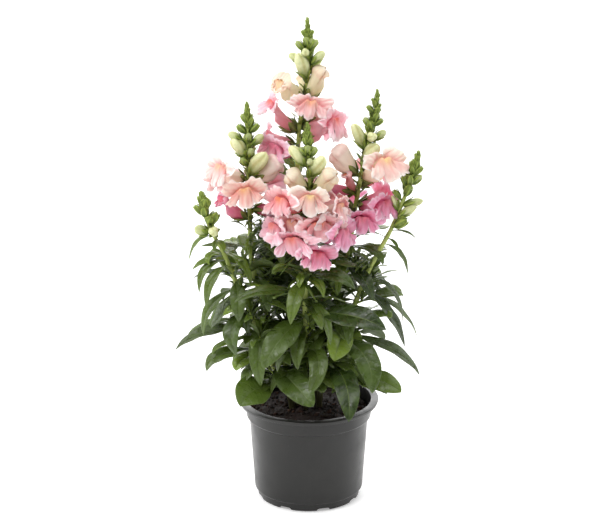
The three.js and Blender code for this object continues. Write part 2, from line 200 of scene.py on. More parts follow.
BUDS = by_stem(BudRow, {
    "tall": (
        (360, -60, 72, 2, 21, 12.5, 1.0), (374, -85, 32, 5, 11, 7.5, 0.6), (371, 80, 48, 5, 13, 8.5, 0.6),
        (380, -15, 45, 2, 9, 7, 0.7), (384, -80, 48, 3, 9.5, 6, 0.15), (385, 78, 52, 3, 9, 6, 0.15),
        (389, -20, 65, 1, 8, 5.5, 0.1), (388, 60, 62, 1, 8, 5.5, 0.1), (386, 180, 55, 2, 9, 6, 0.2),
        (379, 165, 40, 3, 11, 7.5, 0.6), (371, 190, 40, 3, 14, 9, 0.8), (396, -75, 60, 1, 6.5, 4, 0.0),
        (396, 80, 60, 1, 6.5, 4, 0.0), (364, 140, 45, 3, 16, 10, 0.9)),
    "left": (
        (298, -80, 60, 4, 18, 11.5, 1.0), (313, -85, 33, 6, 11, 8, 0.6), (285, 70, 58, 2, 22, 14, 1.0),
        (310, 80, 45, 4, 11, 8, 0.6), (321, -85, 45, 2, 8.5, 6, 0.0), (321, 80, 48, 3, 8.5, 6, 0.0),
        (327, 60, 62, 1, 7, 5, 0.0), (330, -70, 62, 1, 8, 5, 0.1), (316, 5, 45, 1, 8, 6.5, 0.15),
        (302, 25, 50, 1, 9, 7, 0.25), (294, -40, 45, 2, 9, 6.5, 0.1), (300, 170, 45, 3, 14, 9, 0.8),
        (308, 190, 40, 3, 11, 8, 0.5), (318, 170, 50, 2, 9, 6.5, 0.2)),
    "front": (
        (299, -80, 56, 4, 19, 10.5, 0.95), (292, 70, 60, 2, 18, 12.5, 1.0), (313, 0, 50, 1, 8, 6, 0.1),
        (309, -75, 50, 2, 8.5, 6.5, 0.1), (309, 75, 55, 2, 8.5, 6.5, 0.1), (319, -40, 65, 1, 7, 4.5, 0.0),
        (318, 60, 65, 1, 7, 4.5, 0.0), (302, 10, 45, 2, 8, 6, 0.5), (300, 180, 45, 3, 14, 9, 0.8),
        (309, 170, 50, 2, 9, 6.5, 0.2)),
    "right": (
        (303, -75, 70, 4, 21, 10.5, 0.95), (315, 15, 30, 2, 10, 9, 0.9), (294, 50, 55, 2, 19, 13, 1.0),
        (311, 82, 40, 6, 11, 7.5, 0.4), (324, -70, 58, 2, 9, 6, 0.15), (326, 80, 40, 2, 7.5, 5, 0.0),
        (337, -80, 50, 2, 6.5, 4.5, 0.0), (336, 60, 60, 1, 6.5, 4.5, 0.0), (323, -20, 60, 1, 8, 5.5, 0.0),
        (330, 45, 62, 1, 7.5, 5, 0.0), (318, 170, 45, 2, 10, 7, 0.4), (306, 170, 45, 3, 13, 8.5, 0.8),
        (330, 190, 55, 2, 8, 5.5, 0.1)),
    "far_right": (
        (254, -60, 72, 3, 12, 5, 0.8), (260, 80, 20, 2, 15, 8, 0.45), (249, 75, 40, 2, 17, 8.5, 0.6),
        (241, 60, 35, 3, 12, 9, 0.0), (275, -70, 70, 2, 10, 6, 0.0), (277, 10, 65, 1, 10, 6.5, 0.0),
        (268, 40, 60, 1, 11, 7, 0.0), (277, 80, 45, 3, 10, 6.5, 0.2), (287, 80, 45, 1, 8, 5, 0.0),
        (286, -80, 60, 1, 8, 5, 0.0), (264, -70, 55, 3, 9, 5, 0.0), (270, 170, 50, 2, 10, 6.5, 0.1),
        (280, 190, 55, 2, 9, 6, 0.0), (255, 190, 40, 2, 13, 7.5, 0.5)),
    "far_left": (
        (240, -80, 25, 4, 11, 10, 0.5), (242, 10, 25, 2, 10, 9.5, 0.8), (248, 75, 60, 2, 10, 8.5, 0.0),
        (261, 70, 65, 1, 9, 5.5, 0.0), (256, -75, 50, 2, 10, 5.5, 0.0), (255, -10, 60, 1, 10, 7, 0.0),
        (261, 20, 65, 1, 10, 6.5, 0.0), (264, -80, 72, 1, 8, 4.5, 0.0), (251, 20, 40, 1, 8, 7, 0.0),
        (246, 170, 40, 2, 11, 8, 0.4), (255, 190, 50, 1, 10, 6.5, 0.0), (262, 180, 55, 1, 9, 6, 0.0)),
})

# Flowers on the sides and inside the front cluster, which the frame leaves to the finished model.
HIDDEN_FLOWERS = by_stem(FlowerRow, {
    "tall": (
        (345, 178, 35, 22, 0.45, Tone.CREAM), (326, 128, 5, 26, 0.95, Tone.BLUSH),
        (320, 150, 10, 25, 1.0, Tone.CORAL), (310, 130, 5, 29, 1.0, Tone.PINK),
        (306, -100, 5, 27, 1.0, Tone.PINK)),
    "left": (
        (284, 172, 25, 22, 0.60, Tone.CREAM), (270, 150, 10, 28, 1.0, Tone.PINK),
        (272, -130, 10, 28, 1.0, Tone.BLUSH), (258, 85, 0, 26, 1.0, Tone.ROSE)),
    "front": (
        (254, -4, 8, 22, 0.9, Tone.CORAL), (272, 165, 15, 24, 0.9, Tone.BLUSH),
        (262, 118, 5, 27, 1.0, Tone.CORAL), (258, -125, 5, 27, 1.0, Tone.PINK),
        (256, -32, 2, 24, 1.0, Tone.BLUSH), (256, 46, 2, 27, 1.0, Tone.BLUSH)),
    "right": (
        (274, 150, 10, 28, 1.0, Tone.CORAL), (268, -105, 5, 27, 1.0, Tone.ROSE),
        (258, 120, 5, 28, 1.0, Tone.ROSE), (252, -160, 0, 28, 1.0, Tone.LILAC)),
})


@dataclass(frozen=True)
class LeafRow:
    """One leaf from a stem.

    Its midrib bends at one point: `bow` of the level way out, two arches up and two sways aside.
    `roll` turns the blade about it, `glow` is its share of young green, and `blunt` its roundness.
    The blade starts after `stalk` of the way.
    """

    stem: str
    height: float
    tip: tuple[float, float, float]
    width: float
    arch: float
    sway: float
    bow: float
    roll: float = 0.0
    glow: float = 0.2
    blunt: float = 0.3
    stalk: float = 0.07


# Leaves that stand for a modelled one, by its name.
LEAVES = {name: LeafRow(*values) for name, values in {
    "rim_left": ("far_left", 100, (-57, -60, 103), 28, 8, -3, 0.7, -34, 0.25, 0.4, 0.24),
    "rim_right": ("far_right", 122, (33, -72, 94), 21, 10, 3, 0.85, 8, 0.0, 0.9),
    "low_front": ("far_left", 121, (4, -58, 102), 24, 4, -4, 0.75, 30, 0.12, 0.95),
    "low_right": ("far_right", 110, (78, -30, 104), 20, 5, 0, 0.75, 34, 0.45, 0.9, 0.2),
    "middle_low": ("front", 142, (0, -52, 110), 16, 9, 9, 1.0, 12, 0.25, 0.9),
    "middle_right": ("right", 123, (26, -42, 110), 12, 5, 0, 0.7, 10, 0.3, 0.6),
    "drop_left": ("left", 166, (-40, -42, 114), 16, 4, -3, 1.1, -6, 0.2, 0.6),
    "broad_left": ("front", 168, (-38, -56, 135), 23, 6, 4, 0.8, -24, 0.2, 0.8),
    "level_left": ("front", 192, (-61, -50, 192), 11, 8, 6, 0.7, -32, 0.2, 0.3),
    "dark_left": ("far_left", 172, (-60, -46, 143), 16, 6, -6, 1.1, 4, 0.1, 0.6),
    "back_left": ("far_left", 214, (-85, -34, 180), 9, 7, 1, 1.1, -24, 0.45, 0.4),
    "long_left": ("left", 190, (-84, -10, 153), 9, 4, 4, 0.9, -30, 0.2, 0.4),
    "arc_left": ("far_left", 218, (-91, -30, 193), 8, 7, 0, 1.05, -24, 0.5, 0.3),
    "side_left": ("far_left", 222, (-97, -24, 211), 7, 3, 2, 0.65, -28, 0.6, 0.3),
    "high_left": ("far_left", 239, (-100, -16, 216), 5, 6, 0, 0.8, -34, 0.55, 0.2),
    "far_left": ("far_left", 158, (-113, -8, 134), 12, 6, 2, 0.75, -32, 0.15, 0.4),
    "low_left": ("far_left", 135, (-86, -22, 120), 13, 7, 1, 1.0, -30, 0.25, 0.8),
    "inner_left": ("far_left", 226, (-48, -36, 201), 9, 5, -1, 1.0, 10, 0.5, 0.4),
    "hanging": ("front", 204, (-15, -56, 174), 13, 6, 1, 0.95, -8, 0.5, 0.4),
    "broad_right": ("front", 172, (64, -52, 168), 23, 8, -7, 0.75, 34, 0.0, 0.25),
    "inner_right": ("front", 206, (38, -50, 203), 13, 9, -4, 0.75, 30, 0.05, 0.4),
    "drop_right": ("far_right", 145, (53, -48, 110), 22, 8, 3, 0.9, 12, 0.1, 0.8),
    "pale_right": ("right", 150, (41, -14, 130), 18, 5, 2, 0.9, 26, 0.9, 0.8),
    "far_right": ("far_right", 148, (95, 4, 106), 13, 4, -1, 0.8, 32, 0.1, 0.4),
    "side_right": ("far_right", 186, (93, 14, 137), 9, 4, 0, 0.8, 32, 0.1, 0.3),
    "arch_right": ("far_right", 200, (79, -8, 158), 7, 6, 1, 1.0, 28, 0.1, 0.3),
    "high_right": ("far_right", 228, (83, -8, 202), 6, 4, 1, 0.9, 26, 0.25, 0.3),
}.items()}

# More leaves with a place of their own, which the frame leaves to the finished model.
MORE_LEAVES = tuple(LeafRow(*values) for values in (
    ("far_left", 194, (-88, -30, 155), 10, 5, 1, 1.1, -26, 0.3, 0.4),
    ("far_left", 184, (-82, -20, 158), 16, 4, 1, 0.6, -28, 0.1, 0.7),
    ("far_left", 200, (-58, -44, 172), 13, 4, 0, 1.1, 4, 0.2, 0.5),
    ("left", 180, (-51, -26, 154), 10, 3, -1, 1.1, 0, 0.1, 0.5),
    ("far_left", 205, (-98, 0, 195), 6, 4, -2, 0.6, -30, 0.1, 0.3),
    ("left", 224, (-91, 2, 223), 5, 2, -1, 0.65, -30, 0.2, 0.2),
    ("far_left", 236, (-78, -30, 229), 4.5, 2, 0, 1.0, 0, 0.5, 0.4),
    ("far_left", 165, (-104, 4, 141), 9, 3, 1, 0.8, -32, 0.2, 0.4),
    ("far_left", 150, (-81, -24, 136), 6, 2, 0, 1.0, -28, 0.5, 0.3),
    ("far_left", 136, (-61, -34, 125), 15, 3, 0, 1.0, -12, 1.0, 0.9),
    ("right", 207, (54, -28, 186), 13, 6, -4, 1.0, 18, 0.0, 0.6),
    ("far_right", 190, (81, -16, 140), 12, 3, -1, 0.8, 22, 0.0, 0.5),
    ("right", 205, (69, 10, 165), 9, 2, -1, 0.7, 30, 0.1, 0.4),
    ("far_right", 239, (90, -6, 232), 3, 3, 0, 0.65, 20, 0.2, 0.2),
    ("far_right", 233, (75, -12, 223), 3, 2, 0, 0.85, 20, 0.3, 0.2),
    ("far_right", 233, (38, -14, 234), 4, 7, 2, 0.7, -20, 0.2, 0.2),
    ("front", 185, (18, -46, 152), 10, 8, -1, 1.0, 6, 0.3, 0.5),
    ("front", 180, (11, -50, 167), 8, 4, -2, 1.1, 8, 0.4, 0.5),
    ("front", 118, (27, -40, 110), 17, 5, -3, 0.9, 14, 0.5, 0.8),
    ("tall", 226, (-23, -6, 215), 14, 6, -5, 1.0, -14, 0.0, 0.9),
    ("tall", 232, (-11, -10, 198), 16, 3, -4, 0.9, -6, 0.0, 0.8),
    ("front", 160, (-9, -50, 132), 12, 5, -2, 0.9, -4, 0.3, 0.6),
    ("left", 245, (-26, -18, 233), 11, 4, 0, 0.9, 10, 0.0, 0.7),
    ("left", 232, (-22, -26, 212), 10, 6, 1, 1.0, 12, 0.3, 0.4),
    ("front", 208, (-30, -44, 214), 8, 5, -2, 0.8, -20, 0.3, 0.4),
    ("front", 207, (-6, -52, 216), 6, 3, 0, 0.8, 0, 1.0, 0.3),
    ("front", 205, (12, -50, 196), 7, 5, 1, 0.9, 14, 0.8, 0.3),
    ("right", 214, (24, -30, 190), 9, 5, 0, 0.9, -6, 0.6, 0.4),
    ("right", 222, (62, -14, 212), 8, 5, 1, 0.9, 24, 0.2, 0.4),
    ("right", 238, (22, -22, 226), 7, 4, 0, 0.9, -10, 0.3, 0.3),
    ("right", 176, (33, -38, 150), 12, 5, 2, 0.9, 10, 0.2, 0.6),
    ("left", 200, (-33, -36, 178), 12, 5, 0, 0.9, 8, 0.1, 0.6),
    ("tall", 236, (-40, 34, 214), 17, 6, 3, 0.9, 20, 0.0, 0.7),
    ("tall", 228, (26, 38, 206), 17, 6, -3, 0.9, -20, 0.0, 0.7),
    ("tall", 214, (-30, 42, 180), 18, 6, 2, 0.9, 20, 0.0, 0.7),
    ("tall", 206, (34, 36, 184), 18, 5, -2, 0.9, -20, 0.0, 0.7),
    ("tall", 250, (-30, 30, 240), 13, 5, 2, 0.9, 20, 0.1, 0.5),
    ("tall", 246, (16, 32, 234), 13, 5, -2, 0.9, -20, 0.1, 0.5),
    ("left", 214, (-12, 20, 196), 16, 5, 3, 0.9, 14, 0.0, 0.7),
    ("left", 236, (-16, 14, 226), 12, 5, 2, 0.9, 14, 0.1, 0.6),
    ("right", 206, (-4, 22, 190), 16, 5, -3, 0.9, -14, 0.0, 0.7),
    ("right", 226, (4, 12, 216), 12, 5, -2, 0.9, -14, 0.1, 0.6),
    ("right", 196, (70, 30, 172), 14, 5, -2, 0.9, 20, 0.0, 0.6),
    ("far_left", 206, (-44, 12, 188), 14, 5, 2, 0.9, 10, 0.1, 0.6),
    ("front", 190, (-28, -24, 172), 14, 4, 0, 0.9, -10, 0.0, 0.7),
    ("front", 186, (24, -28, 168), 14, 4, 0, 0.9, 10, 0.0, 0.7),
    ("far_right", 154, (21, -40, 136), 22, 4, 2, 0.9, -30, 1.0, 0.7),
    ("far_right", 112, (66, -26, 101), 17, 5, 1, 0.8, 26, 0.2, 0.9),
    ("tall", 222, (-44, 14, 200), 18, 5, 2, 0.9, -34, 0.0, 0.7),
    ("tall", 201, (-34, 4, 184), 22, 2, -2, 0.9, -38, 0.0, 0.7),
    ("tall", 212, (-32, 8, 198), 18, 0, 0, 0.9, -38, 0.0, 0.7),
    ("tall", 192, (-36, 10, 172), 22, 2, 0, 0.9, -38, 0.0, 0.7),
    ("tall", 180, (-28, 14, 160), 22, 2, 0, 0.9, -38, 0.0, 0.7),
    ("tall", 194, (24, 14, 174), 22, 2, 0, 0.9, 38, 0.0, 0.7),
    ("far_left", 236, (-70, -27, 228), 6, 2, 0, 0.9, 0, 1.0, 0.6),
    ("far_left", 196, (-56, -27, 186), 8, 3, 0, 0.9, 0, 1.0, 0.6),
    ("far_left", 152, (-48, -24, 143), 8, 3, 0, 0.9, 0, 1.0, 0.6),
    ("front", 210, (-8, -42, 201), 7, 3, 0, 0.9, 0, 1.0, 0.6),
))

# Tufts of needle-thin young leaves at a stem's joint: stem, height, turn, the leaves' length.
TUFTS = (
    ("front", 224, -10, 30), ("front", 196, 25, 26), ("left", 228, 60, 36), ("left", 238, 20, 30),
    ("left", 216, 80, 36), ("right", 226, -35, 34), ("right", 240, -20, 28), ("far_right", 206, -50, 28),
    ("tall", 228, 15, 40), ("tall", 242, -50, 36), ("right", 200, -20, 30), ("far_left", 196, 40, 22),
)


# ------------------------------------------------------------------ curves and directions


def heading(turn: float, rise: float) -> Array:
    """Unit direction that points `turn` degrees round from the front and `rise` degrees up."""
    t, r = math.radians(turn), math.radians(rise)
    return np.array([math.cos(r) * math.sin(t), -math.cos(r) * math.cos(t), math.sin(r)])


def unit(vectors: Array) -> Array:
    """The same vectors at length 1, along their last axis."""
    return vectors / np.maximum(np.linalg.norm(vectors, axis=-1, keepdims=True), 1e-9)


def ease(x: Array, low: float, high: float) -> Array:
    """Rises smoothly from 0 at `low` to 1 at `high`: 3t^2 - 2t^3."""
    t = np.clip((x - low) / (high - low), 0.0, 1.0)
    return t * t * (3.0 - 2.0 * t)


def bell(x: Array, centre: float, spread: float) -> Array:
    """A smooth bump of height 1: exp(-((x - centre) / spread)^2)."""
    return np.exp(-(((x - centre) / spread) ** 2))


def blend(a: Array | Colour, b: Array | Colour, share: float | Array) -> Array:
    """From a to b by a share: a (1 - s) + b s."""
    return np.asarray(a) * (1 - share) + np.asarray(b) * share


def bent(start: Array, middle: Array, end: Array, s: Array) -> Array:
    """A quadratic curve: it leaves `start` towards `middle` and reaches `end` from there."""
    return (1 - s) ** 2 * start + 2 * s * (1 - s) * middle + s**2 * end


def around(count: int) -> Array:
    """The angles of `count` even steps round a circle, in radians."""
    return np.arange(count) * FULL_TURN / count


def through_keys(x: Array, knots: tuple[float, ...], values: tuple[float, ...]) -> Array:
    """A smooth curve through key values: cubic Hermite pieces with slopes taken from the neighbours.

    Args:
        x: where to read the curve, of any shape.
        knots: rising places of the keys.
        values: the curve's value at each key.

    Returns:
        The curve's values, in the shape of x.
    """
    xs, ys = np.asarray(knots, float), np.asarray(values, float)
    slopes = np.gradient(ys, xs)
    i = np.clip(np.searchsorted(xs, x, side="right") - 1, 0, len(xs) - 2)
    step = xs[i + 1] - xs[i]
    t = (x - xs[i]) / step
    return (
        (2 * t**3 - 3 * t**2 + 1) * ys[i]
        + (t**3 - 2 * t**2 + t) * step * slopes[i]
        + (3 * t**2 - 2 * t**3) * ys[i + 1]
        + (t**3 - t**2) * step * slopes[i + 1]
    )


def swell(points: Array, rng: np.random.Generator, pitch: float, waves: int = 20,
          spread: tuple[float, float] = (0.6, 1.6)) -> Array:
    """Smooth random relief: plane waves with random headings and phases, added up.

    Args:
        points: places to read it at, (..., 3).
        rng: the seeded source of the waves.
        pitch: the waves' usual length.
        waves: how many waves are added.
        spread: the fewest and the most waves to that length.

    Returns:
        Values of about -1 to 1, one for each point.
    """
    ways = unit(rng.normal(size=(waves, 3))) * (FULL_TURN / pitch) * rng.uniform(*spread, (waves, 1))
    phases = rng.uniform(0, FULL_TURN, waves)
    return np.sin(points @ ways.T + phases).sum(-1) / math.sqrt(waves) * 0.8


class StemLine:
    """A stem's middle line as a smooth function of height."""

    def __init__(self, row: StemRow) -> None:
        """Keeps the line's points as keys over height."""
        x, y, z = np.array(row.line, float).T
        self.keys = tuple(z)
        self.x, self.y = tuple(x), tuple(y)
        self.foot, self.top = z[0], z[-1]

    def at(self, height: float | Array) -> Array:
        """The point on the middle line at a height, or at each of several."""
        z = np.asarray(height, float)
        x = through_keys(z, self.keys, self.x)
        y = through_keys(z, self.keys, self.y)
        return np.stack([x, y, z], axis=-1)

    def radius(self, height: float | Array) -> Array:
        """The stem's radius, tapering from its root to its tip."""
        share = np.clip((np.asarray(height, float) - self.foot) / (self.top - self.foot), 0, 1)
        return STEM_ROOT_RADIUS + (STEM_TIP_RADIUS - STEM_ROOT_RADIUS) * share**2


LINES = {name: StemLine(row) for name, row in STEMS.items()}


# ------------------------------------------------------------------ surfaces


@dataclass
class Patch:
    """A closed stretch of surface, in millimetres.

    A face is four point numbers; a three-cornered one has -1 last. `tint` is a colour or other
    values that the finish reads, and `uv` runs along and across the surface. `finish` is the
    finish's place in the piece's list.
    """

    points: Array
    faces: Array
    uv: Array
    tint: Array
    finish: int

    def turned_out(self) -> "Patch":
        """The same closed patch with its faces pointing out, told by the sign of its volume."""
        a, b, c = (self.points[self.faces[:, k]] for k in range(3))
        volume = np.einsum("ij,ij->i", a, np.cross(b, c)).sum()
        four = self.faces[:, 3] >= 0
        d = self.points[self.faces[four, 3]]
        volume += np.einsum("ij,ij->i", a[four], np.cross(c[four], d)).sum()
        if volume >= 0:
            return self
        order = back_to_front(self.faces)
        faces = np.take_along_axis(self.faces, order, axis=1)
        uv = np.take_along_axis(self.uv, order[..., None], axis=1)
        return replace(self, faces=faces, uv=uv)


def back_to_front(faces: Array) -> Array:
    """The order of each face's corners that turns it over; a three-cornered one keeps its -1 last."""
    return np.where(faces[..., 3:] >= 0, [3, 2, 1, 0], [2, 1, 0, 3])


def colours(count: int, colour: Array | Colour) -> Array:
    """One colour for each of `count` points, as (count, 4) with a fourth value of 0."""
    full = np.zeros((count, 4))
    full[:, :3] = colour
    return full


def strip_faces(numbers: Array, wrap: bool) -> Array:
    """Four-cornered faces between the rows and columns of a grid of point numbers."""
    right = np.roll(numbers, -1, axis=1)
    cut = slice(None) if wrap else slice(0, -1)
    corners = (numbers[:-1], right[:-1], right[1:], numbers[1:])
    return np.stack([c[:, cut].ravel() for c in corners], axis=1)


def grid_uv(rows: int, cols: int, wrap: bool) -> Array:
    """Along and across shares for every face of a grid."""
    last = cols if wrap else cols - 1
    u = np.arange(rows)[:, None] / (rows - 1) + np.zeros(last + 1)
    v = np.zeros((rows, 1)) + np.arange(last + 1) / last
    both = np.stack([u, v], axis=-1)
    corners = (both[:-1, :-1], both[:-1, 1:], both[1:, 1:], both[1:, :-1])
    return np.stack([c.reshape(-1, 2) for c in corners], axis=1)


def grid_normals(points: Array, wrap: bool) -> Array:
    """Unit normals of a grid of points: the cross product of the steps across and along it."""
    along = np.gradient(points, axis=0)
    if wrap:
        across = np.roll(points, -1, axis=1) - np.roll(points, 1, axis=1)
    else:
        across = np.gradient(points, axis=1)
    return unit(np.cross(across, along))


def tube(points: Array, tint: Array | Colour, finish: int) -> Patch:
    """A closed round-ended skin over rings of points.

    Args:
        points: rings along the tube, (rings, sides, 3).
        tint: a colour, or a value for each point.
        finish: the finish's place in the piece's list.

    Returns:
        The patch, with each end closed by a fan to its middle.
    """
    rings, sides, _ = points.shape
    numbers = np.arange(rings * sides).reshape(rings, sides)
    middles = np.stack([points[0].mean(0), points[-1].mean(0)])
    first, last = numbers[0], numbers[-1]
    none = np.full(sides, -1)
    foot = np.stack([np.full(sides, rings * sides), np.roll(first, -1), first, none], axis=1)
    head = np.stack([np.full(sides, rings * sides + 1), last, np.roll(last, -1), none], axis=1)
    faces = np.concatenate([strip_faces(numbers, True), foot, head])
    end_uv = np.zeros((2 * sides, 4, 2))
    end_uv[sides:, :, 0] = 1.0
    shade = colours(rings * sides, tint) if np.ndim(tint) == 1 else np.asarray(tint).reshape(-1, 4)
    shade = np.concatenate([shade, shade[:1], shade[-1:]])
    uv = np.concatenate([grid_uv(rings, sides, True), end_uv])
    return Patch(np.concatenate([points.reshape(-1, 3), middles]), faces, uv, shade, finish).turned_out()


def shell(outer: Array, inner: Array, wrap: bool, tint: Array, finish: int) -> Patch:
    """A closed thin wall between two grids of points of one shape, joined along their free edges.

    Args:
        outer: one face of the wall, (rows, columns, 3).
        inner: the other face.
        wrap: whether the columns go all the way round.
        tint: values for the points of both faces, (2, rows, columns, 4).
        finish: the finish's place in the piece's list.

    Returns:
        The patch.
    """
    rows, cols, _ = outer.shape
    a = np.arange(rows * cols).reshape(rows, cols)
    b = a + rows * cols
    across = slice(None) if wrap else slice(0, -1)
    pairs = [(a[0], b[0], True), (b[-1], a[-1], True)]
    if not wrap:
        pairs += [(b[:, 0], a[:, 0], False), (a[:, -1], b[:, -1], False)]
    rims = []
    for near, far, ring in pairs:
        cut = across if ring else slice(0, -1)
        following = np.roll(near, -1)[cut], np.roll(far, -1)[cut]
        rims.append(np.stack([near[cut], far[cut], following[1], following[0]], axis=1))
    faces = np.concatenate([strip_faces(a, wrap), strip_faces(b, wrap)[:, ::-1], *rims])
    flat_uv = grid_uv(rows, cols, wrap)
    own_uv = np.stack([(a // cols) / (rows - 1), (a % cols) / (cols if wrap else cols - 1)], axis=-1)
    rim_uv = np.concatenate([own_uv.reshape(-1, 2)] * 2)[np.concatenate(rims)]
    uv = np.concatenate([flat_uv, flat_uv[:, ::-1], rim_uv])
    points = np.concatenate([outer.reshape(-1, 3), inner.reshape(-1, 3)])
    return Patch(points, faces, uv, tint.reshape(-1, 4), finish).turned_out()


def swept(line: Array, radii: Array, sides: int, tint: Array | Colour, finish: int) -> Patch:
    """A round stalk: a circle of `sides` corners stood across a line at each of its points."""
    along = unit(np.gradient(line, axis=0))
    nearly_along_x = abs(along[:, 0]).max() >= 0.9
    start = np.array([0.0, 1.0, 0.0]) if nearly_along_x else np.array([1.0, 0.0, 0.0])
    side = unit(start - (along @ start)[:, None] * along)
    up = np.cross(along, side)
    a = around(sides)
    ring = np.cos(a)[None, :, None] * side[:, None] + np.sin(a)[None, :, None] * up[:, None]
    return tube(line[:, None] + ring * np.asarray(radii)[:, None, None], tint, finish)


def build_piece(name: str, patches: list[Patch], finishes: list[bpy.types.Material],
                nodes: tuple[str, ...] = ()) -> bpy.types.Object:
    """Makes one piece of the plant from its patches and sets it on the frame.

    Args:
        name: the piece's name.
        patches: its surfaces, in millimetres.
        finishes: its materials, which the patches name by number.
        nodes: the modelled nodes that it stands for.

    Returns:
        The new object, at the origin and in metres.
    """
    starts = np.cumsum([0] + [len(p.points) for p in patches[:-1]])
    faces = np.concatenate([np.where(p.faces >= 0, p.faces + s, -1)
                            for p, s in zip(patches, starts, strict=True)])
    used = faces >= 0
    points = np.concatenate([p.points for p in patches]) * MM
    uv = np.concatenate([p.uv for p in patches])[used]
    tint = np.concatenate([p.tint for p in patches])
    slots = np.concatenate([np.full(len(p.faces), p.finish) for p in patches])
    sizes = used.sum(1)
    mesh = bpy.data.meshes.new(name)
    mesh.vertices.add(len(points))
    mesh.vertices.foreach_set("co", points.ravel())
    mesh.loops.add(int(sizes.sum()))
    mesh.loops.foreach_set("vertex_index", faces[used].astype(np.int32))
    mesh.polygons.add(len(faces))
    mesh.polygons.foreach_set("loop_start", np.concatenate([[0], np.cumsum(sizes)[:-1]]).astype(np.int32))
    mesh.polygons.foreach_set("material_index", slots.astype(np.int32))
    mesh.polygons.foreach_set("use_smooth", np.ones(len(faces), bool))
    mesh.update(calc_edges=True)
    mesh.uv_layers.new(name=SURFACE_MAP).data.foreach_set("uv", uv.ravel())
    mesh.color_attributes.new(TINT_LAYER, "FLOAT_COLOR", "POINT").data.foreach_set("color", tint.ravel())
    for finish in finishes:
        mesh.materials.append(finish)
    piece = bpy.data.objects.new(name, mesh)
    bpy.context.scene.collection.objects.link(piece)
    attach(piece, BODY)
    if nodes:
        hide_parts(*nodes)
    return piece


# ------------------------------------------------------------------ finishes


